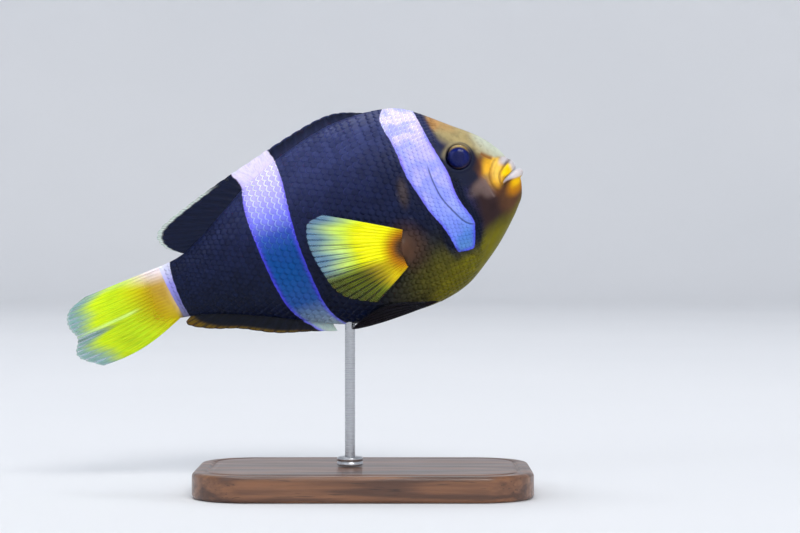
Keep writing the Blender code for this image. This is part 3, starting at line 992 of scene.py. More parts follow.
@dataclass(frozen=True)
class SkinFinish:
    """Wet skin painted with the markings: a mottled ground, crisp bars, fine pores and a thin coat; on
    scales, a painted highlight along each rim.

    Attributes:
        scaly: True on scales, whose rims get a painted highlight from the field rim, and each its own tone
            from the field tone.
        roughness: (least, most).
        coat: weight of the clear coat.
        clouds: the ground's share of light in its darkest and its lightest clouds.
        pearl_dim, pearl_lit: a pale bar's shares of light in its darkest and its lightest clouds.
        pool: the blue of the pools in the mottled pale bar.
        dark_rim_glint, pale_rim_glint: how many times lighter the rims of dark and of pale scales are, as a
            painted highlight.
        sheen: colour of the faint sheen on a dark rim.
        pale_tone: the blue that some pale scales lean to.
    """

    name: str
    scaly: bool
    roughness: Point
    coat: float
    clouds: Point = (0.86, 1.12)
    pearl_dim: Colour = (0.56, 0.54, 0.74)
    pearl_lit: Colour = (0.83, 0.81, 0.97)
    pool: Colour = tint(128, 146, 252)
    dark_rim_glint: Colour = (1.74, 1.68, 1.86)
    sheen: Colour = tint(150, 140, 220)
    pale_rim_glint: Colour = (2.4, 2.6, 1.4)
    pale_tone: Colour = tint(60, 60, 160)

    def material(self) -> Material:
        """Lays out the finish, which reads the fields of Markings.fields and, on scales, rim and tone.

        Returns:
            The material.
        """
        n = Nodes(self.name)
        cloud = n.noise(420, 4)
        grain = n.noise(2600, 3)
        wander = n.times(n.maths("SUBTRACT", n.noise(900, 2), 0.5), 0.34)
        in_bar = n.share(n.maths("ADD", n.number("bar"), wander), -0.07, 0.07)
        light = n.spread(cloud, *self.clouds)
        ground = n.scaled(n.colour("ground"), light, BLACK, WHITE)
        pearl = n.scaled(n.colour("bar_shade"), light, self.pearl_dim, self.pearl_lit)
        mottle = n.number("mottle")
        spots = n.times(n.share(n.noise(800, 2), 0.40, 0.70), mottle)
        ground = n.blend(n.times(spots, 0.22), ground, Paint.UMBER.value)
        pools = n.times(n.share(n.noise(260, 2), 0.42, 0.62, 0.0, 0.55), mottle)
        pearl = n.blend(pools, pearl, self.pool)
        if self.scaly:
            # Painted highlight: each scale's rim lightened by the field rim, with a faint violet sheen on the
            # dark ones.
            rim, tone = n.number("rim"), n.number("tone")
            lit, bright = n.share(rim, 0.78, 0.92), n.share(rim, 0.68, 0.82)
            ground = n.scaled(ground, lit, WHITE, self.dark_rim_glint)
            ground = n.blend(n.times(lit, 0.03), ground, self.sheen)
            ground = n.blend(n.share(tone, 0.0, 1.0, 0.0, 0.25), ground, BLACK)
            pearl = n.blend(n.share(tone, 0.0, 1.0, 0.0, 0.10), pearl, self.pale_tone)
            pearl = n.scaled(pearl, bright, WHITE, self.pale_rim_glint)
        line = n.share(n.maths("ABSOLUTE", n.number("seam")), 0.05, 0.26, 0.8, 0.0)
        pearl = n.blend(n.times(line, n.number("seam_drawn")), pearl, Paint.SEAM.value)
        normal = n.bump(grain, 0.00002, n.bump(cloud, 0.00012))
        return n.finish(Base_Color=n.blend(in_bar, ground, pearl), Roughness=n.spread(grain, *self.roughness),
                        Normal=normal, Coat_Weight=self.coat, Coat_Roughness=0.2, Subsurface_Weight=0.05,
                        Subsurface_Scale=0.0006, Specular_IOR_Level=0.10)


@dataclass(frozen=True)
class FinFinish:
    """Thin fin skin over its rays, clear where the field clear says.

    Attributes:
        streak: how strongly fine streaks run along the rays.
        fine: streaks across the whole fin, and their share along a ray.
        joints: radians of the cross joints' sine along a ray.
    """

    name: str
    streak: float
    fine: Point = (150, 5)
    joints: float = 150.0

    def material(self) -> Material:
        """Lays out the finish, which reads the fields ground, bar, bar_shade, ray, clear, reach and across.

        Returns:
            The material.
        """
        n = Nodes(self.name)
        cloud = n.noise(700, 3)
        lines = n.add("ShaderNodeCombineXYZ")
        for name, scale, target in zip(("across", "reach"), self.fine, lines.inputs):
            n.join(n.times(n.number(name), scale), target)
        fibre = n.add("ShaderNodeTexNoise")
        fibre.inputs["Scale"].default_value = 1.0
        n.join(lines.outputs[0], fibre.inputs["Vector"])
        streaks = n.share(fibre.outputs["Fac"], 0.35, 0.65, 1 - self.streak, 1 + self.streak)
        joints = n.maths("SINE", n.times(n.number("reach"), self.joints))
        ground = n.scaled(n.colour("ground"), streaks, BLACK, WHITE)
        in_bar = n.share(n.maths("ADD", n.number("bar"), n.maths("SUBTRACT", cloud, 0.5)), -0.2, 0.2)
        pearl = n.scaled(n.colour("bar_shade"), streaks, (0.6, 0.6, 0.85), WHITE)
        height = n.maths("ADD", n.times(n.times(joints, 0.35), n.number("ray")), fibre.outputs["Fac"])
        return n.finish(Base_Color=n.blend(in_bar, ground, pearl), Roughness=n.spread(cloud, 0.34, 0.5),
                        Alpha=n.maths("SUBTRACT", 1.0, n.number("clear")), Normal=n.bump(height, 0.00002),
                        Coat_Weight=0.05, Coat_Roughness=0.2, Subsurface_Weight=0.1,
                        Subsurface_Scale=0.0006, Specular_IOR_Level=0.12)


@dataclass(frozen=True)
class EyeFinish:
    """The eyeball under its cornea: painted iris and pupil, flecked along fine fibres."""

    fleck: Colour = (0, 0, 0.01)

    def material(self) -> Material:
        """Lays out the finish, which reads the field ground.

        Returns:
            The material.
        """
        n = Nodes("eye_iris")
        fibre = n.noise(3000, 4)
        shade = n.blend(n.spread(fibre, 0.0, 0.35), n.colour("ground"), self.fleck)
        return n.finish(Base_Color=shade, Roughness=n.spread(fibre, 0.16, 0.3),
                        Normal=n.bump(fibre, 0.00003), Specular_IOR_Level=0.25)


@dataclass(frozen=True)
class ClearFinish:
    """The clear, wet cornea: nearly clear and glossy, with the faintest blue haze."""

    haze: tuple[Colour, Colour] = (tint(10, 20, 80), tint(24, 44, 130))

    def material(self) -> Material:
        """Lays out the finish.

        Returns:
            The material.
        """
        n = Nodes("cornea")
        cloud = n.noise(500, 2)
        return n.finish(Base_Color=n.blend(cloud, *self.haze), Roughness=n.spread(cloud, 0.02, 0.05),
                        Alpha=0.08, Specular_IOR_Level=0.18, Coat_Weight=0.15, Coat_Roughness=0.05)


@dataclass(frozen=True)
class WoodFinish:
    """Varnished walnut: long grain along X, with growth rings, pores and a satin coat.

    Attributes:
        rings: (dark, light) wood of the growth rings.
        grain: colour of the fine grain.
        pores: colour of the pores.
        ring_run: radians of the rings' sine over the noise's range.
    """

    rings: tuple[Colour, Colour] = (tint(82, 50, 32), tint(128, 84, 54))
    grain: Colour = tint(62, 36, 24)
    pores: Colour = tint(34, 20, 14)
    ring_run: float = 46.0

    def material(self) -> Material:
        """Lays out the finish: bands of noise stretched along the grain, darkened by fine pores.

        Returns:
            The material.
        """
        n = Nodes("walnut")
        bands = n.noise(60, 5, (0.09, 1, 1.6))
        fine = n.noise(900, 4, (0.05, 1, 1))
        pores = n.noise(2600, 2, (0.06, 1, 1))
        rings = n.maths("SINE", n.times(bands, self.ring_run))
        shade = n.blend(n.share(rings, -1, 1), *self.rings)
        shade = n.blend(n.spread(fine, 0.0, 0.5), shade, self.grain)
        shade = n.blend(n.share(pores, 0.62, 0.72, 0.0, 0.6), shade, self.pores)
        normal = n.bump(pores, 0.00004, n.bump(fine, 0.00003))
        return n.finish(Base_Color=shade, Roughness=n.spread(fine, 0.34, 0.46), Normal=normal,
                        Coat_Weight=0.35, Coat_Roughness=0.18)


@dataclass(frozen=True)
class SteelFinish:
    """Brushed steel, its brushing running round the bar."""

    shades: tuple[Colour, Colour] = (tint(176, 178, 182), tint(186, 188, 192))

    def material(self) -> Material:
        """Lays out the finish: fine rings of noise in the roughness, the colour and a shallow bump.

        Returns:
            The material.
        """
        n = Nodes("brushed_steel")
        rings = n.noise(9000, 2, (0.004, 0.004, 1))
        shade = n.blend(n.spread(rings, 0.0, 1.0), *self.shades)
        return n.finish(Base_Color=shade, Metallic=1.0, Roughness=n.spread(rings, 0.22, 0.32),
                        Normal=n.bump(rings, 0.000002))


@dataclass(frozen=True)
class PaperFinish:
    """The matt, pale floor and backdrop: near white, with the faintest cloud."""

    shades: tuple[Colour, Colour] = (tint(214, 216, 220), tint(222, 223, 226))

    def material(self) -> Material:
        """Lays out the finish."""
        n = Nodes("backdrop")
        return n.finish(Base_Color=n.blend(n.noise(3, 3), *self.shades), Roughness=0.9)


# -------- the body


@dataclass(frozen=True)
class Fold:
    """A fold cut into the skin.

    Attributes:
        depth, width: its depth and half its breadth, in millimetres.
        shade: cover of the brown painted shade in it.
    """

    line: Line
    depth: float
    width: float
    shade: float = 0.0

    def cut(self, s: Array, h: Array) -> Array:
        """Depth of the cut at each place, in millimetres."""
        return self.depth * self.line.groove(s, h, self.width)


@dataclass
class Skin:
    """The one skin over head, jaws, gill covers, trunk and tail stem, with its folds, orbits and lips.

    Attributes:
        eye, eye_radius: (s, h) and radius of the orbit.
        columns: places round each ring.
        depth: how far the skin of the scaled body lies inside the solids, in millimetres.
        maxilla_folds, snout_notch: the folds round the upper jaw's plate, and over it.
        edges: the cheek's and the gill cover's edge, each (line, rise before it, fall behind it).
        lobe, lobe_paint: (centre, radii) of the pectoral fin's fleshy root, and of its paint.
        nostril: (s, h) of its pore.
        tail_rays: (rays that start under the skin, height of the first one's edge, breadth of them all).
    """

    form: BodyForm
    pose: Pose
    marks: Markings
    eye: Point
    eye_radius: float
    columns: int = 288
    depth: float = 0.16
    finish: SkinFinish = SkinFinish("skin", False, (0.32, 0.44), 0.05)
    maxilla_folds: tuple[Fold, ...] = (
        Fold(Line(((4, 5.7), (5, 4.9), (6, 3.7), (6.9, 2.1), (7, 0.4), (6.6, -1), (5.6, -2.2))),
             0.26, 0.26, 0.4),
        Fold(Line(((4.1, 4.6), (5.2, 3.3), (5.9, 1.8), (5.9, 0.4), (5.3, -1.2))), 0.08, 0.3, 0.1),
        Fold(Line(((1.5, 4.7), (2.4, 3.6), (3.5, 2.8), (4.5, 1.9), (5, 0.4), (4.9, -1.1))), 0.30, 0.2, 0.5))
    snout_notch: Fold = Fold(Line(((7.3, 7.9), (6.7, 7.3), (5.8, 6.4), (4.8, 5.8))), 0.42, 0.34)
    jaw_fold: Fold = Fold(Line(((5.2, -1.4), (6.4, -4.6), (8.6, -8.6), (11.2, -12.2), (14.5, -16))),
                          0.12, 0.4)
    cheek_fold: Fold = Fold(Line(((8.6, 3.2), (8, 1.4), (7.5, -0.6), (7.2, -3))), 0.2, 0.26)
    edges: tuple[tuple[Line, float, float], ...] = (
        (Line(((20.2, 11), (20.2, 6), (19.3, 1), (17.6, -3), (15.6, -6.2), (13.2, -8.6))), 0.20, 0.24),
        (Line(((23.2, 12.2), (26.6, 9.6), (28.3, 5.2), (27.4, 0.2), (25.2, -4.8), (21.8, -9.4),
               (17.4, -13.2), (12.6, -15.8))), 0.34, 0.26))
    side_line: Fold = Fold(Line(((28.5, 12.5), (36, 16.6), (46, 16.8), (56, 14), (66, 9.4), (73, 6.2))),
                           0.05, 0.3)
    lobe: tuple[Point, Point] = ((31.2, -7.4), (3, 4))
    lobe_paint: tuple[Point, Point] = ((30.6, -7.4), (2.8, 4.8))
    nostril: Point = (6.6, 9.3)
    tail_rays: tuple[int, float, float] = (17, 6.9, 13.1)

    def __post_init__(self) -> None:
        """Works out the rings, the bare form, its relief and the finished places and normals."""
        keys = self.form.key_rings()
        reach = np.zeros(len(keys))
        for k in (0, 2, 4):
            reach[1:] += np.hypot(*np.diff(keys[:, k : k + 2], axis=0).T) / 3
        way = np.concatenate(([0], np.cumsum(np.sqrt(reach[1:]))))
        fine = np.linspace(0, way[-1], 3000)
        trial = spline(way, keys, fine)
        gone = sum(np.hypot(*np.diff(trial[:, k : k + 2], axis=0).T) for k in (0, 2, 4)) / 3
        spacing = np.interp(trial[1:, 2], (10, 20, 32, 60), (0.21, 0.26, 0.42, 0.46))
        count = np.concatenate(([0], np.cumsum(gone / spacing)))
        places = np.interp(np.linspace(0, count[-1], int(count[-1]) + 1), count, fine)
        self.ring_no = np.interp(places, way, np.arange(len(keys)))
        turn = circle(self.columns)
        angle = turn + 0.25 * np.sin(2 * turn)
        self.upper = np.cos(angle)[None, :] > 0
        self.s, self.y, self.h = self.form.place(spline(way, keys, places), angle)
        self.ring = np.broadcast_to(self.ring_no[:, None], self.s.shape)
        bare = self.pose.place(self.s, self.y, self.h)
        out = normals(bare, True)
        self.places = bare + out * (self.relief() - self.inset())[..., None] * MM
        self.out = normals(self.places, True)

    def inset(self) -> Array:
        """How far the skin lies inside the solids: nothing on the lips, all of the depth behind the snout."""
        return self.depth * ease(6, 16, self.ring)

    def orbit(self, s: Array, h: Array) -> Array:
        """Distance from the eye's middle, in orbit radii, in the side view."""
        return oval(s, h, self.eye) / self.eye_radius

    def lips(self) -> Array:
        """A roll over the crest of the lips, with a fine groove behind it, by the ring's number."""
        roll = np.where(self.upper, 0.22, 0.34) * hump(self.ring, 3.7, 0.9)
        return roll - np.where(self.upper, 0.10, 0.20) * hump(self.ring, 5.6, 0.45)

    def face(self) -> Array:
        """The folds of the jaws and cheek, the nostril and the orbit with its lid.

        Returns:
            Heights over the bare form, in millimetres.
        """
        s, h = self.s, self.h
        height = np.zeros_like(s)
        for fold in self.maxilla_folds:
            _, side, _ = fold.line.near(s, h)
            swell = hump(side, 0.55, 0.5) + 0.6 * hump(side, -0.55, 0.5)
            height += fold.line.groove(s, h, 1.2) * 0.14 * swell - fold.cut(s, h)
        height -= self.snout_notch.cut(s, h)
        height += 0.12 * self.snout_notch.line.groove(s, h, 0.9)
        height -= self.jaw_fold.cut(s, h)
        height -= self.cheek_fold.cut(s, h)
        pore = oval(s, h, self.nostril)
        height += 0.13 * hump(pore, 0.46, 0.17) - 0.5 * hump(pore, 0, 0.24)
        away = self.orbit(s, h)
        over_eye = ease(-0.3, 0.8, (h - self.eye[1]) / self.eye_radius)
        height += hump(away, 1.08, 0.13) * (0.12 + 0.14 * over_eye)
        return height * ease(5.0, 5.8, self.ring) - 2.6 * (1 - ease(0.86, 1.0, away))

    def gills(self) -> Array:
        """The steps behind the cheek and the gill cover, each high in front of its edge.

        Returns:
            Heights over the bare form, in millimetres.
        """
        height = np.zeros_like(self.s)
        for line, rise, fall in self.edges:
            gap, side, share = line.near(self.s, self.h)
            ends = ease(0, 0.1, share) * ease(0, 0.14, 1 - share)
            front = rise * ease(0.0, 0.3, side) * (1 - ease(0.6, 4.0, side))
            height += (front - fall * hump(gap, 0.08, 0.22)) * ends
        return height

    def tail_grooves(self) -> Array:
        """1 between the tail's rays where they start under the skin, 0 on them and ahead of them."""
        rays, top, span = self.tail_rays
        return (0.5 + 0.5 * np.cos(2 * math.pi * (rays * (top - self.h) / span))) * ease(86.0, 88.5, self.s)

    def relief(self) -> Array:
        """All that stands out of the bare form, in millimetres.

        Returns:
            Heights at every place.
        """
        lobe = oval(self.s, self.h, *self.lobe)
        height = self.lips() + self.face() + self.gills()
        height += (1.5 * hump(lobe, 0, 0.75) - 0.1 * hump(lobe, 0.6, 0.1)) * (np.abs(self.y) > 2)
        height -= self.side_line.cut(self.s, self.h) + 0.07 * self.tail_grooves()
        return height

    def ground(self) -> Array:
        """The markings' ground, with pale lips, a painted rim light on the upper lip's front, and a dark,
        fleshy mouth by the ring's number.

        Returns:
            Colours, with a last axis of 3.
        """
        s, h, ring = self.s, self.h, self.ring
        below = 4.55 - 0.55 * ease(0.5, 3.5, s)
        lip = ease(2.3, 2.9, ring) * (1 - ease(0, 0.7, ring - np.where(self.upper, 4.9, below)))
        # The upper lip is pale only at its front, a painted rim light; the lower lip is pale along more of
        # its length.
        lip = lip * np.where(self.upper, 1 - ease(1.0, 2.2, s), 1 - 0.35 * ease(1.5, 4.0, s))
        lobe = oval(s, h, *self.lobe_paint)
        away = self.orbit(s, h)
        above = ease(-0.1, 0.8, (h - self.eye[1]) / self.eye_radius)
        ahead = ease(-0.2, 0.7, (self.eye[0] - s) / self.eye_radius)
        return over(self.marks.ground(s, h), (Paint.LIP_AND_RIM_LIGHT, 0.9 * lip), (Paint.MOUTH, 1 - ease(2.0, 2.9, ring)),
                    # Painted shade: brown in the folds round the upper jaw's plate.
                    *((Paint.BROWN, fold.shade * fold.line.groove(s, h, 0.3)) for fold in self.maxilla_folds),
                    (Paint.RUST, 0.9 * self.snout_notch.line.groove(s, h, 0.45)),
                    (Paint.RUST, 0.12 * (1 - ease(0.2, 0.8, lobe))),
                    (Paint.RUST, 0.16 * self.tail_grooves()),
                    (Paint.UMBER, 0.35 * hump(lobe, 0.95, 0.12)),
                    (Paint.EYE_RING, 0.92 * (1 - ease(1.15, 1.6, away)) * (1 - above)),
                    (Paint.TAN, 0.5 * hump(away, 1.16, 0.16) * above * (1 - ahead)),
                    (Paint.EYE_RING, 0.75 * hump(away, 1.14, 0.09) * ahead),
                    (Paint.EYE_RING, 1 - ease(0.94, 1.02, away)))

    def build(self) -> Piece:
        """Makes the skin as one closed net of rings, with a pole in the throat and one at the tail.

        Returns:
            The object.
        """
        fields = {**self.marks.fields(self.s, self.h), "ground": self.ground()}
        fields["bar"] = np.where(self.ring < len(self.form.mouth), NO_BAR, fields["bar"])
        nodes = ("head", "upper_jaw", "lower_jaw", "gill_cover_right", "gill_cover_left", "trunk",
                 "tail_stem")
        return closed(self.places, fields).build("skin", self.finish.material(), nodes, "dark_skin")

    def sample(self, grid: Array, row: Array, column: Array) -> Array:
        """A grid's values between its places, each the mix of the four round it.

        Args:
            grid: (rows, columns) or (rows, columns, m).
            row, column: places along the rings and round them, where they wrap.

        Returns:
            Values of row's shape, with m behind it where the grid has one.
        """
        rows, columns = grid.shape[:2]
        row = np.clip(row, 0, rows - 1.001)
        i, j = np.floor(row).astype(int), np.floor(column).astype(int)
        p, q = row - i, column - j
        if grid.ndim == 3:
            p, q = p[..., None], q[..., None]
        j, after = j % columns, (j + 1) % columns
        near = grid[i, j] * (1 - q) + grid[i, after] * q
        far = grid[i + 1, j] * (1 - q) + grid[i + 1, after] * q
        return near * (1 - p) + far * p


# -------- the scales


@dataclass
class Scales:
    """Overlapping scales as solid plates, in staggered columns that run round the body, on the skin.

    A plate's own places are a, tailward along the lie, and b, up or down across it, in shares of its half
    lengths; each has its front sunk in the skin and its rear edge standing free over the plates behind it.

    Attributes:
        pitch: (s, spacing of the columns there).
        front: (h, s) of the line that the first scales keep behind.
        spread: spacing within a column, as a share of the columns' spacing.
        length, width: a plate's half length and half width, as shares of the two spacings.
        sunk, raised: heights over the skin of its front edge and of the largest plates' rear edge.
        crown: how far its sides fall away from its middle line, so that they dip under their neighbours.
        dome: how far its middle stands over its edge.
        lean: how far the columns lean back with height, as a share.
        uneven: how much plates differ in size, as a share, in turn, in radians, and in height.
        off_eye: how far they keep off the eye's middle, in orbit radii.
        lobe: (centre, radii) of the bare root of the pectoral fin.
        bare_seam: (breadth, side) of the rim that they leave bare along the cheek's seam.
        edges: places round a plate.
        patch: breadth of a plate's place on the bake's map.
        head_ends: the s that parts the head's piece from the body's.
    """

    skin: Skin
    pitch: Points = (
        (8, 0.60), (12, 0.66), (16, 0.84), (22, 1), (28, 1.24), (36, 1.46), (62, 1.44), (74, 1.2), (92, 0.9))
    front: Points = (
        (-20, 18), (-14, 14), (-9, 12), (-5, 11.6), (0.5, 12), (2.5, 13.4), (5.4, 15.6), (9, 16.6),
        (12.4, 17.4), (13.8, 16.2), (16.5, 15), (24, 15))
    spread: float = 1.10
    length: float = 1.08
    width: float = 0.76
    sunk: float = -0.05
    raised: float = 0.12
    crown: float = 0.045
    dome: float = 0.014
    thickness: float = 0.045
    lean: float = 0.12
    uneven: tuple[float, float, float] = (0.015, 0.02, 0.004)
    off_eye: float = 1.36
    lobe: tuple[Point, Point] = ((30.4, -7.4), (2.2, 4))
    bare_seam: Point = (0.75, -0.38)
    edges: int = 12
    patch: float = 0.003
    head_ends: float = 27.5
    finish: SkinFinish = SkinFinish("scales", True, (0.34, 0.46), 0.04)

    def plate(self) -> tuple[Array, list[Array]]:
        """The plate's shape: a middle, a ring, the edge and the edge's underside, closed below by a fan.

        Returns:
            Rows of (a, b, share of the way out, 1 on the underside) and the faces' corner indices.
        """
        n = self.edges
        turn = circle(n) - 0.32 * np.sin(circle(n))
        wide = np.sin(turn) * (1 - 0.26 * np.clip(np.cos(turn), 0, 1))
        rings = [np.stack((share * np.cos(turn), share * wide, np.full(n, share), np.full(n, low)), -1)
                 for share, low in ((0.58, 0), (1, 0), (0.985, 1))]
        places = np.vstack(([(0, 0, 0, 0)], *rings, [(0, 0, 0, 1)]))
        j = np.arange(n)
        after = (j + 1) % n
        middle = np.stack((np.zeros(n, int), 1 + j, 1 + after), -1)
        under = np.stack((np.full(n, 3 * n + 1), 1 + 2 * n + after, 1 + 2 * n + j), -1)
        walls = [np.stack((k + j, k + n + j, k + n + after, k + after), -1) for k in (1, 1 + n)]
        return places, [part[:, ::-1] for part in (middle, under, np.vstack(walls))]

    def columns(self) -> Array:
        """The columns' places, each one pitch behind the last, from the face to the tail.

        Returns:
            Each column's s.
        """
        fine = np.linspace(8, 86.4, 4000)
        count = np.concatenate(([0], np.cumsum(np.diff(fine) / np.interp(fine[1:], *np.array(self.pitch).T))))
        return np.interp(np.arange(int(count[-1])), count, fine)

    def roots(self, left: bool) -> Array:
        """Where the scales of one side grow, worked out column by column.

        Each column is a section at one s. Its scales lie at even steps of arc up and down from the side line,
        half a step aside in every other column.

        Args:
            left: True for the fish's left side.

        Returns:
            Rows of (row, column) on the skin's grid and the plate's spacing, (n, 3).
        """
        skin, half = self.skin, self.skin.columns // 2
        outside = int(np.searchsorted(skin.ring_no, len(skin.form.mouth)))
        fine = np.linspace(0, half, 361)
        turned = fine if left else skin.columns - fine
        leant = skin.s - self.lean * ease(26, 36, skin.s) * skin.h
        along = skin.sample(leant, np.arange(outside, len(skin.s))[:, None] + 0.0, turned[None, :])
        found = []
        for number, s in enumerate(self.columns()):
            pitch = float(np.interp(s, *np.array(self.pitch).T))
            i = np.clip((along < s).sum(0) - 1, 0, len(along) - 2)
            j = np.arange(len(fine))
            row = outside + i + (s - along[i, j]) / (along[i + 1, j] - along[i, j])
            row = np.clip(row, outside, len(skin.s) - 2)
            spots = skin.sample(skin.places, row, turned) / MM
            arc = np.concatenate(([0], np.cumsum(np.linalg.norm(np.diff(spots, axis=0), axis=1))))
            side = np.interp(half / 2, fine, arc)
            step = pitch * self.spread
            least, most = math.ceil(-side / step) - 1, math.floor((arc[-1] - side) / step) + 1
            spans = side + (np.arange(least, most + 1) + 0.5 * (number % 2)) * step
            spans = spans[(spans > 0.3 * step) & (spans < arc[-1] - 0.3 * step)]
            found.append(np.stack((np.interp(spans, arc, row), np.interp(spans, arc, turned),
                                   np.full(len(spans), pitch)), -1))
        return np.vstack(found)

    def kept(self, roots: Array) -> Array:
        """Picks the roots behind the bare snout and chin, off the orbit, the cheek's rim and the fin's root.

        Args:
            roots: (n, 3) as roots() gives them.

        Returns:
            True for each root that is kept.
        """
        s, h = (self.skin.sample(grid, roots[:, 0], roots[:, 1]) for grid in (self.skin.s, self.skin.h))
        gap, side, _ = self.skin.marks.cheek_seam.near(s, h)
        bare = (gap < self.bare_seam[0]) & (side > self.bare_seam[1])
        clear = (self.skin.orbit(s, h) > self.off_eye) & (oval(s, h, *self.lobe) > 1)
        return (s > through(self.front, h)) & clear & ~bare

    def relief(self, s: Array, h: Array) -> Array:
        """How far the scales stand out: low on the head, round the orbit, by the fin's root and at the tail.

        Args:
            s, h: places in the side view.

        Returns:
            Shares of the full height.
        """
        first = ease(-0.5, 4.5, s - through(self.front, h))
        head = 1 - 0.45 * (1 - ease(20, 34, s)) * (1 - 0.5 * ease(8, 16, h))
        face = 0.25 + 0.75 * first * ease(1.3, 2.4, self.skin.orbit(s, h))
        root = 1 - 0.4 * hump(oval(s, h, self.lobe[0]), 0, 6)
        low = 1 - 0.3 * (1 - ease(-10, 4, h)) * ease(30, 38, s)
        return head * face * root * low * (1 - 0.6 * ease(80, 84, s))

    def build(self) -> list[Piece]:
        """Makes the head's and the body's scales, each side a piece of its own.

        Returns:
            The four objects.
        """
        material = self.finish.material()
        pieces = []
        for left in (False, True):
            roots = self.roots(left)
            roots = roots[self.kept(roots)]
            s = self.skin.sample(self.skin.s, roots[:, 0], roots[:, 1])
            side = "left" if left else "right"
            for name, part in (("head_scales", s < self.head_ends), ("body_scales", s >= self.head_ends)):
                chance = np.random.default_rng(SEED + len(pieces))
                shell = self.laid(roots[part], chance)
                pieces.append(shell.build(f"{name}_{side}", material, (), "dark_skin"))
        return pieces

    def laid(self, roots: Array, chance: np.random.Generator) -> Shell:
        """Lays a plate at every root, bent to the skin under it.

        A step (a, b) on the plate, in millimetres along and across the lie, is a step (p, q) on the grid
        with p R + q C = a A + b B, where R and C are the skin's run over one row and one column, A is the
        lie, along R, and B is across it.

        Args:
            roots: (n, 3) as roots() gives them.
            chance: the source of the plates' small differences.

        Returns:
            The plates as one mesh.
        """
        skin = self.skin
        shape, faces = self.plate()
        row, column, pitch = (roots[:, k : k + 1] for k in range(3))
        run = (skin.sample(skin.places, row + 0.5, column) - skin.sample(skin.places, row - 0.5, column)) / MM
        aside = skin.sample(skin.places, row, column + 0.5) - skin.sample(skin.places, row, column - 0.5)
        aside = aside / MM
        run_length = np.linalg.norm(run, axis=-1)
        lie = run / run_length[..., None]
        slant = (aside * lie).sum(-1)
        across = np.linalg.norm(aside - slant[..., None] * lie, axis=-1)
        count = len(roots)
        size, turn, lift = (chance.normal(middle, spread, (count, 1))
                            for middle, spread in zip((1, 0, 0), self.uneven))
        small = pitch / max(spacing for _, spacing in self.pitch)
        along, beside, out, below = (shape[None, :, k] for k in range(4))
        a = along * self.length * pitch * size
        b = beside * self.width * self.spread * pitch * size
        a, b = a * np.cos(turn) - b * np.sin(turn), a * np.sin(turn) + b * np.cos(turn)
        a = a - 0.45 * pitch
        q = b / across
        p = (a - q * slant) / run_length
        rows, columns = row + p, column + q
        back = (along + 1) / 2
        relief = self.relief(skin.sample(skin.s, row, column), skin.sample(skin.h, row, column))
        rise = (self.raised * (0.45 + 0.55 * small) + lift) * relief
        sunk = self.sunk * relief
        height = sunk + (rise - sunk) * back**1.15 - self.crown * relief * small * beside**2
        height = height + self.dome * small * (1 - out**2) - self.thickness * small * below
        lift_off = skin.sample(skin.out, rows, columns) * (height[..., None] * MM)
        spots = skin.sample(skin.places, rows, columns) + lift_off
        s, h = skin.sample(skin.s, rows, columns), skin.sample(skin.h, rows, columns)
        # Painted highlight on the plates' rims: strongest at the rear edge, weaker on the head, low on the
        # flank and towards the tail.
        gleam = 1 - 0.27 * (1 - ease(24, 36, s)) * (1 - 0.4 * ease(8, 18, h)) - 0.22 * (1 - ease(-8, 5, h))
        gleam = gleam - 0.16 * (1 - ease(-2, 8, h)) * ease(24, 36, s) - 0.3 * ease(66, 76, s)
        fields = {**skin.marks.fields(s, h), "rim": out * (0.55 + 0.45 * back) * gleam,
                  "tone": np.broadcast_to(chance.random((count, 1)), s.shape)}
        root_map = np.stack((row / (len(skin.s) - 1), column / skin.columns), -1)
        patches = root_map + shape[None, :, :2] * self.patch / 2
        first = np.arange(count)[:, None, None] * len(shape)
        laid = [(first + part[None]).reshape(-1, part.shape[1]) for part in faces]
        return Shell(listed(spots), laid, [listed(patches)[part] for part in laid],
                     {key: listed(values) for key, values in fields.items()})


# -------- the fins


class Margin(Enum):
    """How the skin between the rays ends at a fin's margin: the depth of its notches, as a share of a ray."""

    SMOOTH = 0.010
    SCALLOPED = 0.022
    NOTCHED = 0.045


@dataclass(frozen=True)
class FinFormat:
    """The measures that every fin has.

    Attributes:
        steps: rows from the root to the tips.
        splits: (share of the way out where rays fork once, share where they fork again), past 1 for never.
        root_half, tip_half, skin_half: half thickness of a ray at its root and its tip, and of the skin.
        fine: columns for each ray.
        rounding: how much shorter the first and the last rays are, as shares.
    """

    name: str
    rays: int
    margin: Margin
    slot: str
    steps: int
    splits: Point = (0.35, 0.68)
    root_half: float = 0.30
    tip_half: float = 0.09
    skin_half: float = 0.055
    fine: int = 14
    rounding: Point = (0, 0)


@dataclass(frozen=True)
class Spots:
    """Places on a fin.

    Attributes:
        r, t: shares of the way along the root line and out to the tips.
        s, h: place in the side view.
        ray: 1 on a ray's crest, 0 between rays.
    """

    r: Array
    t: Array
    s: Array
    h: Array
    ray: Array


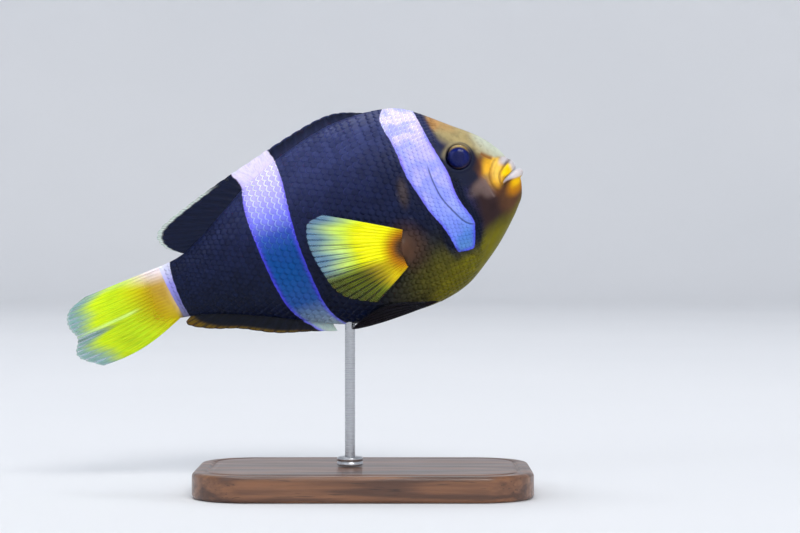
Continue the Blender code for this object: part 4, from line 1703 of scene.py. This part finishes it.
@dataclass
class Fin:
    """A fin: a sheet of skin carried by rays from a root line to a line of tips, both run from the front.

    Attributes:
        root, tips: (s, h) of the root line and of the line of tips.
        carried: the bar of the body that runs on over it, if one does.
    """

    form: FinFormat
    pose: Pose
    marks: Markings
    root: Points
    tips: Points
    finish: FinFinish
    carried: Bar | None = None

    def sheet(self, r: Array, t: Array) -> tuple[Array, Array, Array]:
        """The middle of the sheet, straight between the root line and the line of tips.

        Args:
            r, t: shares along the root and out to the tips.

        Returns:
            s, y and h.
        """
        root, tip = track(self.root, r), track(self.tips, r)
        place = root + (tip - root) * t[..., None]
        return place[..., 0], self.aside(r, t), place[..., 1]

    def aside(self, r: Array, t: Array) -> Array:
        """How far the sheet stands to the fish's left: a slight wave that grows towards the tips."""
        return 0.22 * t**1.5 * np.sin(4 * math.pi * r + 0.8)

    def ray(self, r: Array, t: Array) -> Array:
        """How far a place is on a ray: humps across it, each parting in two where the ray forks.

        Args:
            r, t: shares along the root and out to the tips.

        Returns:
            1 on a ray's crest, falling to 0 between rays.
        """
        away = (r * self.form.rays) % 1 - 0.5
        first = 0.17 * ease(self.form.splits[0], self.form.splits[0] + 0.3, t)
        second = 0.085 * ease(self.form.splits[1], self.form.splits[1] + 0.25, t)
        width = 0.20 - 0.07 * ease(*self.form.splits, t) - 0.06 * ease(self.form.splits[1], 1, t)
        forks = [hump(away, one * first + two * second, width) for one in (-1, 1) for two in (-1, 1)]
        return np.maximum.reduce(forks)

    def half(self, r: Array, t: Array, ray: Array) -> Array:
        """Half the thickness: the skin's, and over it the ray's, thinning to the tips and all the margins.

        Args:
            r, t: shares along the root and out to the tips.
            ray: 1 on rays, 0 between them.

        Returns:
            Half thicknesses, in millimetres.
        """
        form = self.form
        rod = form.root_half + (form.tip_half - form.root_half) * ease(0, 1, t) ** 0.6
        rim = ease(0, 0.012, r) * ease(0, 0.012, 1 - r) * ease(0, 0.05, 1 - t)
        web = form.skin_half * (1 + 1.5 * (1 - ease(0, 0.2, t)))
        return (web + (rod - form.skin_half) * ray) * (0.25 + 0.75 * rim)

    def paint(self, at: Spots) -> tuple[Array, Array]:
        """Colours and clearness, from 0 to 1: here black, with a breath of brown along the rays.

        Args:
            at: the places to paint.

        Returns:
            Colours, with a last axis of 3, and clearness.
        """
        return over(plain(Paint.INK, at.s), (Paint.UMBER, 0.2 * at.ray)), 0.1 * (1 - at.ray)

    def build(self) -> Piece:
        """Makes the fin as a closed flat tube: each row runs over one face and back over the other.

        Returns:
            The object.
        """
        columns = self.form.rays * self.form.fine + 1
        r, t = np.meshgrid(np.linspace(0, 1, columns), np.linspace(0, 1, self.form.steps))
        ray = self.ray(r, t)
        web = np.abs((r * self.form.rays) % 1 - 0.5) * 2
        first, last = self.form.rounding
        reach = t * (1 - self.form.margin.value * web**2) * (
            1 - first * (1 - ease(-0.04, 0.13, r)) - last * (1 - ease(-0.04, 0.16, 1 - r)))
        s, y, h = self.sheet(r, reach)
        middle = self.pose.place(s, y, h)
        out = normals(middle, False)
        half = self.half(r, t, ray)[..., None] * MM
        round_places = np.concatenate((middle + out * half, (middle - out * half)[:, ::-1]), axis=1)
        colours, clear = self.paint(Spots(r, t, s, h, ray))
        fields = {"ground": colours, "clear": np.clip(clear, 0, 1), "ray": ray, "reach": t, "across": r,
                  "bar": self.carried.inside(s, h) if self.carried else np.full(s.shape, NO_BAR),
                  "bar_shade": self.marks.bar_colours(s, h)}
        laid = {key: np.concatenate((values, values[:, ::-1]), axis=1) for key, values in fields.items()}
        rows, width = round_places.shape[:2]
        faces, maps = net(rows, width, True)
        maps = maps * (0.96, 1)
        root, tip = self.closing(0, columns, 0.97), self.closing((rows - 1) * width, columns, 0.985)
        shell = Shell(listed(round_places), [faces, root[0], tip[0][:, ::-1]],
                      [maps, root[1], tip[1][:, ::-1]], {key: listed(values) for key, values in laid.items()})
        name = self.form.name
        return shell.build(f"{name}_skin", self.finish.material(), (name,), self.form.slot)

    @staticmethod
    def closing(first: int, columns: int, u: float) -> tuple[Array, Array]:
        """Closes the tube's end, from one side's row of places to the other's.

        Args:
            first, columns: index of the row's first place, and the places on one side.
            u: the faces' place along the map.

        Returns:
            Corner indices (f, 4) and map places (f, 4, 2).
        """
        j = np.arange(columns - 1)
        last = first + 2 * columns - 1
        faces = np.stack((first + j, last - j, last - j - 1, first + j + 1), -1)
        v = np.stack((j, j, j + 1, j + 1), -1) / columns
        return faces, np.stack((np.broadcast_to((u, u + 0.01, u + 0.01, u), v.shape), v), -1)


@dataclass
class SpinyDorsalFin(Fin):
    """The front of the dorsal fin: strong spines with the dark skin notched behind each."""

    def paint(self, at: Spots) -> tuple[Array, Array]:
        """Blue-black, with the back's violet sheen low down and a fine, paler rim."""
        sheen = 0.4 * (1 - ease(0.0, 0.9, at.t)) + 0.08 * at.ray
        colours = over(plain(Paint.NIGHT, at.s), (Paint.BACK_SHEEN, sheen), (Paint.SEAM, 0.5 * ease(0.86, 1, at.t)))
        return colours, 0.12 * ease(0.6, 1, at.t) * (1 - at.ray)


@dataclass
class SoftDorsalFin(Fin):
    """The soft rear of the dorsal fin, black with a fine beaded edge."""

    def paint(self, at: Spots) -> tuple[Array, Array]:
        """Blue-black skin, a paler streak along each ray, and three beads of pale skin over each."""
        edge = ease(0.90, 0.92, at.t) * ease(0.22, 0.34, at.r)
        beads = edge * (0.6 + 0.4 * hump((at.r * 3 * self.form.rays) % 1, 0.5, 0.3))
        streaks = 0.1 * (1 - ease(0, 0.6, at.t)) + 0.1 * at.ray * ease(0.2, 0.6, at.t)
        colours = over(plain(Paint.NIGHT, at.s), (Paint.NAVY, streaks), (Paint.BEAD, beads))
        return colours, 0.15 * ease(0.8, 0.92, at.t) * (1 - edge) * (1 - at.ray)


@dataclass
class AnalFin(Fin):
    """The anal fin: black, olive-bronze along its rear, edged with black."""

    def paint(self, at: Spots) -> tuple[Array, Array]:
        """Black at the root, a bronze band before the margin towards the rear, and a thin black edge."""
        band = ease(0.79, 0.95, at.t + 0.30 * ease(0.6, 1, at.r)) * (1 - ease(0.96, 0.99, at.t))
        band = band * ease(0.05, 0.3, at.r)
        colours = over(plain(Paint.INK, at.s), (Paint.NIGHT, 0.3 * at.ray),
                       (Paint.BRONZE, band * (0.3 + 0.6 * at.ray)), (Paint.INK, ease(0.95, 0.99, at.t) * 0.8))
        return colours, 0.1 * band * (1 - at.ray)


@dataclass
class TailFin(Fin):
    """The tail fin: gold at its root, lemon yellow over most of it, and misty clear at its margin."""

    def sheet(self, r: Array, t: Array) -> tuple[Array, Array, Array]:
        """The sheet of any fin, with the lowest rays bowed down."""
        s, y, h = super().sheet(r, t)
        return s, y, h - 1.5 * np.sin(math.pi * t) * r**4

    def aside(self, r: Array, t: Array) -> Array:
        """A soft fold along the lower middle rays, with a slight wave."""
        return 0.9 * t * np.cos(2.2 * math.pi * r) * (1 - 0.5 * r) + 0.12 * t**2 * np.sin(9 * math.pi * r)

    def paint(self, at: Spots) -> tuple[Array, Array]:
        """The ground's gold, lemon and mist in turn from the root, with darker skin between the rays, and a
        painted highlight and painted shade at the fold.
        """
        r, t, ray, web = at.r, at.t, at.ray, 1 - at.ray
        rim = t + 0.035 * np.sin(23 * r) + 0.10 * np.abs(r - 0.5) + 0.14 * hump(r, 0.62, 0.05)
        fade = ease(0.70, 0.98, rim)
        # Painted highlight: a pale streak along the crest of the fold; a second pale streak runs along the
        # top rays.
        pale = hump(r, 0.55, 0.025) * ease(0.25, 0.4, t) + 0.6 * hump(r, 0.04, 0.04) * ease(0.3, 0.5, t)
        # Painted shade beside the fold in the lower middle rays.
        fold = hump(r, 0.62, 0.03) * ease(0.35, 0.6, t)
        low = (0.06 * web + 0.12 * ease(0.6, 0.9, r)) * ease(0.25, 0.5, t) * (1 - fade)
        colours = over(self.marks.ground(np.maximum(at.s, 86.5), at.h),
                       (Paint.GREEN, ease(0.18, 0.62, t + 0.25 * r) * (0.85 - 0.2 * ray)),
                       (Paint.MIST, fade * (0.95 - 0.2 * ray)), (Paint.BEAD, 0.6 * ease(0.97, 1.0, t)),
                       (Paint.LIME, 0.75 * pale * (1 - 0.7 * ease(0.75, 1, t))),
                       (Paint.SHADE, 0.3 * fold + low))
        return colours, 0.6 * fade * (1 - 0.7 * ray)


@dataclass
class FanFin(Fin):
    """A pectoral or pelvic fin.

    Attributes:
        side: -1 on the fish's right and 1 on its left.
    """

    side: int = -1


@dataclass
class PectoralFin(FanFin):
    """A pectoral fin, spread and standing off the flank.

    Attributes:
        hub: (s, h) of the lobe's middle, which its colours spread from.
    """

    hub: Point = (30.6, -7.4)

    def aside(self, r: Array, t: Array) -> Array:
        """How far the sheet stands off: out at the root, in at the lower tips, bowed outward halfway along.

        Args:
            r, t: shares along the root and out to the tips.

        Returns:
            Distances to the fish's left.
        """
        away = 8.9 + 4.6 * t - 3.4 * t * r**1.5 - 0.9 * r + 0.8 * np.sin(math.pi * t)
        away = away + 1.5 * hump(t, 0.05, 0.16)
        return self.side * (away + 0.16 * t * np.sin(2 * math.pi * 4.5 * r))

    def paint(self, at: Spots) -> tuple[Array, Array]:
        """A brown lobe at the root, orange, lemon yellow, then frosty tips; the lowest rays are olive,
        darkened by painted shade.
        """
        r, t, ray, web = at.r, at.t, at.ray, 1 - at.ray
        # Painted shade: the lower rays turn down away from the light, so their yellow, lime, frost and pale
        # ray tips are held back.
        low = ease(0.56, 0.70, r)
        own = np.sin(2.4 * np.floor(r * self.form.rays))
        start = t + 0.2 * r + 0.12 * own
        gap = web * ease(0.46, 0.84, start) * (0.6 + 0.35 * own) * (0.25 + 0.75 * ease(0.1, 0.45, r))
        fade = ease(0.62, 1.0, t + 0.05 * low + 0.05 * np.sin(31 * r))
        away = oval(at.s, at.h, self.hub)
        lime = ease(0.5, 0.72, t) * (1 - low) * (0.4 + 0.55 * hump(r, 0.42, 0.12))
        # Painted shade over the lower rays, a little darker between them.
        olive = low * (0.84 + 0.14 * web) * ease(0.05, 0.62, t - 0.16 * ease(0.8, 1, r))
        colours = over(plain(Paint.LOBE, at.s), (Paint.CHIN, ease(1.6, 3.8, away)),
                       (Paint.YELLOW, ease(3.0, 6.6, away) * (1 - 0.5 * low)),
                       (Paint.GREEN, ease(0.42, 0.7, t) * 0.7), (Paint.LIME, lime), (Paint.SHADE, 0.85 * gap),
                       (Paint.FROST, fade * (0.94 - 0.84 * low)),
                       (Paint.BEAD, 0.3 * ray * ease(0.66, 0.95, t) * (1 - low)), (Paint.SHADE, olive))
        return colours, 0.3 * gap + 0.5 * fade * web + 0.26 * fade * ray


@dataclass
class PelvicFin(FanFin):
    """A pelvic fin, laid back along the belly.

    Attributes:
        body: the body that it follows.
    """

    body: BodyForm = field(default_factory=BodyForm)

    def sheet(self, r: Array, t: Array) -> tuple[Array, Array, Array]:
        """A strap that follows the belly, its outer edge shorter and standing off it.

        Args:
            r, t: shares across the strap from its inner edge, and out to its tip.

        Returns:
            s, y and h.
        """
        s = 27.2 + 1.6 * r + (21.1 - 5.0 * r**1.5) * t
        y = 1.1 + 1.0 * r + 2.6 * r * np.sin(0.8 * math.pi * t)
        return s, self.side * y, self.body.belly_at(s, y) - 2.0 * t + 0.5


def fins(form: BodyForm, pose: Pose, marks: Markings) -> list[Fin]:
    """Every fin of the fish, from the back round to the belly.

    Args:
        form, pose, marks: the body that they grow from, where it stands and its bars.

    Returns:
        The fins, ready to build.
    """
    dark, bright = FinFinish("dark_fin", 0.35), FinFinish("yellow_fin", 0.22)
    made: list[Fin] = [
        SpinyDorsalFin(
            FinFormat("dorsal_fin_front", 11, Margin.NOTCHED, "dark_fin", 26, (1.5, 2), 0.36, 0.12),
            pose, marks, ((28, 24.4), (37, 24.4), (47, 22.5), (56.1, 19.2)),
            ((29.5, 25.3), (37, 27.6), (46, 26.5), (56.1, 24)), dark, marks.mid_bar),
        SoftDorsalFin(
            FinFormat("dorsal_fin_rear", 16, Margin.SCALLOPED, "dark_fin", 44),
            pose, marks, ((55.9, 19.3), (64, 15.4), (72, 11), (79, 7)),
            ((55.9, 24), (64.5, 21.7), (72, 19.5), (79, 17.2), (84.6, 14.4), (84.1, 10.8), (80.6, 8.2)),
            dark, marks.mid_bar),
        AnalFin(
            FinFormat("anal_fin", 15, Margin.SCALLOPED, "dark_fin", 36),
            pose, marks, ((52.6, -17.2), (62, -13), (72, -8.6), (82, -5.4)),
            ((51.8, -20.7), (59, -18.5), (66, -16.4), (73, -13.1), (79, -11.1), (84.6, -8.2), (83.2, -6.5)),
            dark, marks.mid_bar),
        TailFin(
            FinFormat("tail_fin", 17, Margin.SMOOTH, "yellow_fin", 84, (0.22, 0.55), 0.34, 0.08,
                      rounding=(0.05, 0.04)),
            pose, marks, ((86, 6.9), (87.5, 3.4), (88, 0.3), (87.5, -2.8), (86, -6.2)),
            ((107.4, 5.7), (111.3, 3.2), (111.6, -0.5), (110.8, -3.5), (112.4, -6.7), (108, -11)),
            bright, marks.tail_bar)]
    for side, word in ((-1, "right"), (1, "left")):
        made.append(PectoralFin(
            FinFormat(f"pectoral_fin_{word}", 19, Margin.SMOOTH, "yellow_fin", 72, (0.28, 0.6), 0.30, 0.06,
                      rounding=(0.16, 0.05)),
            pose, marks, ((30, -3.2), (31.2, -6), (31.8, -9), (31.6, -11.8)),
            ((48.4, 7.2), (50.5, 3), (50.8, -2.2), (49.8, -7.4), (47.6, -12.9), (41, -17.4)),
            bright, side=side))
        made.append(PelvicFin(
            FinFormat(f"pelvic_fin_{word}", 6, Margin.SCALLOPED, "dark_fin", 60, (0.3, 0.65), 0.34, 0.10,
                      0.08, 22),
            pose, marks, (), (), dark, side=side, body=form))
    return made


# -------- the eyes


@dataclass
class Eye:
    """An eye: a ball with a blue-black pupil and iris in a gilt ring, under a clear, wet cornea.

    Attributes:
        side: -1 for the fish's right and 1 for its left.
        around: places round a ring.
        rings: rings of the ball's front and of its back.
        iris: share of the way out where the iris dips.
        gilt: (height, red, green, blue) of the gilt ring on a screen, with the height from -1 to 1; its pale
            arc at the bottom is a painted reflection.
    """

    node: str
    side: int
    around: int = 96
    rings: tuple[int, int] = (44, 10)
    iris: float = 0.86
    gilt: Shades = (
        (-1, 140, 108, 84), (-0.75, 84, 64, 70), (-0.3, 20, 20, 50), (0.3, 30, 28, 56), (0.7, 176, 146, 66),
        (1, 228, 192, 88))

    def __post_init__(self) -> None:
        """Reads the eye's middle, radius and depth from its solid, in metres."""
        low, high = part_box(self.node)
        self.middle = (np.array(low) + np.array(high)) / 2
        self.radius, self.deep = (high.z - low.z) / 2, (high.y - low.y) / 2

    def ball(self, radius: Array, depth: Array) -> Array:
        """Places rings about the eye's middle.

        Args:
            radius, depth: each ring's radius and how far out it stands, in metres.

        Returns:
            (rings, around, 3) in the frame.
        """
        turn = circle(self.around)
        x = radius[:, None] * np.cos(turn) * self.side
        y = np.broadcast_to(depth[:, None], x.shape) * self.side
        return self.middle + np.stack((x, y, radius[:, None] * np.sin(turn)), -1)

    def build(self) -> list[Piece]:
        """Makes the ball, its pupil sunk a little behind the iris, and the cornea over them.

        Returns:
            The two objects.
        """
        radius, deep = self.radius, self.deep
        ahead, behind = self.rings
        share = np.concatenate((np.linspace(0.02, 0.985, ahead), np.linspace(0.97, 0.05, behind)))
        front = np.arange(len(share)) < ahead
        dome = deep * 0.86 * np.sqrt(1 - share**2 * 0.96) * np.where(front, 1, -1)
        dip = 0.02 * deep * (1 - ease(0.36, 0.44, share)) - 0.04 * deep * hump(share, self.iris, 0.03)
        places = self.ball(share * radius * 0.985, dome - dip * front)
        height = np.sin(circle(self.around))[None, :] * share[:, None]
        out = np.broadcast_to(share[:, None], height.shape)
        # Painted highlight: the iris lighter towards the top.
        colours = over(plain(Paint.PUPIL, out), (Paint.IRIS, ease(0.38, 0.56, out) * (0.55 + 0.45 * height)),
                       (Paint.IRIS_EDGE, ease(0.62, 0.9, out)))
        # Golden above; the ring's pale arc at the bottom is a painted reflection.
        ring = hump(out, 0.88, 0.05 + 0.07 * ease(0.3, 1, height))
        colours = colours + (ramp(self.gilt, height) - colours) * ring[..., None] * 0.95
        colours = over(colours, (Paint.EYE_RING, ease(0.965, 1.0, out)))
        side = "right" if self.side < 0 else "left"
        ball = closed(places, {"ground": colours})
        pieces = [ball.build(f"eyeball_{side}", EyeFinish().material(), (self.node,), "eye")]
        arc = np.linspace(0.012, 0.97, 26)
        outer = self.ball(arc * radius, deep * np.sqrt(1 - arc**2 * 0.93))
        inner = self.ball(arc[::-1] * radius * 0.99, deep * (np.sqrt(1 - arc[::-1] ** 2 * 0.93) - 0.03))
        lens = closed(np.concatenate((outer, inner)), {})
        pieces.append(lens.build(f"cornea_{side}", ClearFinish().material(), (), "eye"))
        return pieces


# -------- the stand


@dataclass
class Stand:
    """The display stand: a walnut base with rounded corners, a steel collar, and the rod up to the belly.

    Attributes:
        corner, edge: radii of the base's corners and of its top and bottom edges, in metres.
        bead: how far in from the side a fine groove runs round the top.
        inner: how far in the outlines go before they close.
        sink: how far the rod runs on into the fish.
        around: places round a turned part.
    """

    corner: float = 0.013
    edge: float = 0.001
    bead: float = 0.0034
    inner: float = 0.0225
    sink: float = 0.0011
    around: int = 96

    def outline(self, inset: Array) -> Array:
        """A rounded rectangle at each inset from the base's side, as corners' arcs joined by straight sides.

        Args:
            inset: (n,) distances in from the side.

        Returns:
            (n, m, 2) places in x and y.
        """
        low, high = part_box("stand_base")
        half = (np.array(high) - np.array(low))[:2] / 2
        middle = (np.array(high) + np.array(low))[:2] / 2
        quarter = np.linspace(0, math.pi / 2, 17)
        places = []
        for corner, (sx, sy) in enumerate(((1, 1), (-1, 1), (-1, -1), (1, -1))):
            turn = quarter + corner * math.pi / 2
            radius = np.maximum(self.corner - inset, 0.0002)[:, None]
            hub = np.array((sx, sy)) * (half - self.corner)
            extra = np.minimum(self.corner - inset, 0)[:, None] * np.array((sx, sy))
            arc = np.stack((np.cos(turn), np.sin(turn)), -1)
            places.append(middle + hub + extra[:, None, :] + radius[..., None] * arc)
        return np.concatenate(places, 1)

    def base(self) -> Piece:
        """Makes the base: outlines carried up its rounded edge, in over a fine groove and on to the middle.

        Returns:
            The object.
        """
        low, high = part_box("stand_base")
        quarter = np.linspace(0, math.pi / 2, 9)
        steep, level = self.edge * (1 - np.sin(quarter)), self.edge * (1 - np.cos(quarter))
        under = np.stack((steep, low.z + level), -1)
        shoulder = np.stack((level, high.z - steep), -1)
        groove = self.bead + np.linspace(-1, 1, 9) * 0.0005
        dip = np.stack((groove, high.z - 0.00035 * np.cos(np.linspace(-1, 1, 9) * math.pi / 2)), -1)
        flat = np.stack((np.linspace(self.bead + 0.002, self.inner, 12), np.full(12, high.z)), -1)
        bottom = np.stack((np.linspace(self.inner, 0.002, 8), np.full(8, low.z)), -1)
        side = np.stack((np.zeros(6), np.linspace(low.z + self.edge, high.z - self.edge, 8)[1:-1]), -1)
        profile = np.vstack((bottom, under, side, shoulder, dip, flat))
        outlines = self.outline(profile[:, 0])
        heights = np.broadcast_to(profile[:, 1, None, None], outlines.shape[:2] + (1,))
        piece = closed(np.concatenate((outlines, heights), -1), {})
        return piece.build("base_block", WoodFinish().material(), ("stand_base",), "walnut")

    def turned(self, node: str, profile: Array) -> Shell:
        """Turns a profile about the upright axis through a node's middle.

        Args:
            node: the solid.
            profile: (radius, height) rows, in metres.

        Returns:
            The shape.
        """
        low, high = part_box(node)
        turn = circle(self.around)
        x = (low.x + high.x) / 2 + profile[:, :1] * np.cos(turn)
        y = (low.y + high.y) / 2 + profile[:, :1] * np.sin(turn)
        return closed(np.stack((x, y, np.broadcast_to(profile[:, 1:], x.shape)), -1), {})

    def collar(self) -> Piece:
        """Makes the collar: bevelled above and below, with a fine groove round its middle.

        Returns:
            The object.
        """
        low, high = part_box("stand_collar")
        radius, tall = (high.x - low.x) / 2, high.z - low.z
        shares = ((0.3, 0), (0.9, 0), (0.985, 0.03), (1, 0.1), (1, 0.4), (0.93, 0.46), (0.93, 0.52),
                  (1, 0.58), (1, 0.82), (0.98, 0.9), (0.93, 0.97), (0.86, 1), (0.62, 1), (0.5, 0.97),
                  (0.3, 0.97))
        profile = np.array(shares) * (radius, tall) + (0, low.z)
        piece = self.turned("stand_collar", profile)
        return piece.build("collar_ring", SteelFinish().material(), ("stand_collar",), "steel")

    def rod(self) -> Piece:
        """Makes the rod, from inside the collar up into the belly.

        Returns:
            The object.
        """
        low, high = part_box("stand_rod")
        radius = (high.x - low.x) / 2
        heights = np.linspace(low.z - 0.0009, high.z + self.sink, 60)
        profile = np.stack((np.full(60, radius * 0.995), heights), -1)
        profile[0, 0] = profile[-1, 0] = radius * 0.9
        piece = self.turned("stand_rod", profile)
        return piece.build("rod_bar", SteelFinish().material(), ("stand_rod",), "steel")

    def build(self) -> list[Piece]:
        """All three parts of the stand."""
        return [self.base(), self.collar(), self.rod()]


# -------- the studio


def aimed(piece: Piece, place: Vector, target: Vector) -> None:
    """Sets a lamp or camera at a place and turns it to a target."""
    piece.location = place
    piece.rotation_euler = (target - place).to_track_quat("-Z", "Y").to_euler()


@dataclass(frozen=True)
class SoftLight:
    """A square, soft lamp that looks at the fish.

    Attributes:
        place, side: where it stands, and the length of its side, in metres.
        power: in watts.
    """

    name: str
    place: tuple[float, float, float]
    side: float
    power: float
    shade: Colour

    def build(self, target: Vector) -> None:
        """Hangs the lamp.

        Args:
            target: the place that it looks at.
        """
        lamp = bpy.data.lights.new(self.name, "AREA")
        lamp.size, lamp.energy, lamp.color = self.side, self.power, self.shade
        aimed(linked(self.name, lamp), Vector(self.place), target)


@dataclass
class Studio:
    """The pale floor that curves up into a far backdrop, the soft lights and the camera.

    Attributes:
        target, distance: the middle of the view, and how far the camera stands from it, in metres.
        lens: focal length on a frame 36 mm wide.
        lift: the camera's height over the target.
        floor_size: (radius of the flat floor, radius of its bend, height of the wall) in metres.
    """

    target: Vector = field(default_factory=lambda: Vector((0.00845, 0, 0.0526)))
    distance: float = 0.5175
    lens: float = 100.0
    lift: float = 0.004
    lights: tuple[SoftLight, ...] = (
        SoftLight("key_light", (0.7, -2.3, 1.5), 1.3, 84.0, (1, 0.98, 0.95)),
        SoftLight("fill_light", (-1.7, -1.8, 0.7), 1.5, 30.0, (0.90, 0.95, 1)),
        SoftLight("top_light", (-0.3, 0.3, 2.2), 1.4, 30.0, (0.95, 0.97, 1)))
    floor_size: tuple[float, float, float] = (1.9, 0.5, 2.6)
    sky: Colour = (0.86, 0.92, 1)
    sky_strength: float = 0.30

    def floor(self) -> None:
        """Makes a disc of floor whose rim curves up: height R(1 - cos q), with q the share past the bend."""
        flat, bend, wall = self.floor_size
        turn, q = circle(128), np.linspace(0, math.pi / 2, 14)[1:]
        radius = np.concatenate((np.linspace(0.02, flat, 24), flat + bend * np.sin(q), [flat + bend]))
        height = np.concatenate((np.zeros(24), bend * (1 - np.cos(q)), [wall]))[:, None]
        ring = np.stack((np.cos(turn), np.sin(turn)), -1)[::-1]
        rows, around = len(radius), len(turn)
        places = np.dstack((radius[:, None, None] * ring, np.broadcast_to(height, (rows, around))))
        faces, _ = net(rows, around, True)
        middle, _ = cap(0, around, rows * around, True, 0.0)
        mesh = meshed("floor", np.vstack((listed(places), [(0, 0, 0)])), [faces, middle])
        mesh.materials.append(PaperFinish().material())
        linked("floor", mesh)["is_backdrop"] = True

    def camera(self) -> None:
        """Sets the camera level with the fish's side."""
        lens = bpy.data.cameras.new("camera")
        lens.lens, lens.sensor_width = self.lens, 36.0
        camera = linked("camera", lens)
        aimed(camera, self.target + Vector((0, -self.distance, self.lift)), self.target)
        bpy.context.scene.camera = camera

    def build(self) -> None:
        """Sets the stage, with a pale, even sky."""
        world = bpy.data.worlds.new("sky")
        world.use_nodes = True
        sky = world.node_tree.nodes["Background"]
        sky.inputs["Color"].default_value = (*self.sky, 1.0)
        sky.inputs["Strength"].default_value = self.sky_strength
        bpy.context.scene.world = world
        bpy.context.scene.view_settings.view_transform = "Standard"
        self.floor()
        for light in self.lights:
            light.build(self.target)
        self.camera()


def main() -> None:
    """Builds the studio and every piece of the fish and its stand."""
    logging.basicConfig(level=logging.INFO, format="%(name)s %(message)s")
    Studio().build()
    form, pose, marks = BodyForm(), Pose(), Markings()
    low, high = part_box("eye_right")
    skin = Skin(form, pose, marks, pose.side_view((low + high) / 2), (high.z - low.z) / 2 / MM)
    skin.build()
    Scales(skin).build()
    for fin in fins(form, pose, marks):
        fin.build()
    for node, side in (("eye_right", -1), ("eye_left", 1)):
        Eye(node, side).build()
    Stand().build()
    boxes = {"cad": CAD_BOX, "visual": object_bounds()}
    sizes = {key: [[float(v) for v in corner] for corner in box] for key, box in boxes.items()}


if __name__ == "__main__":
    main()
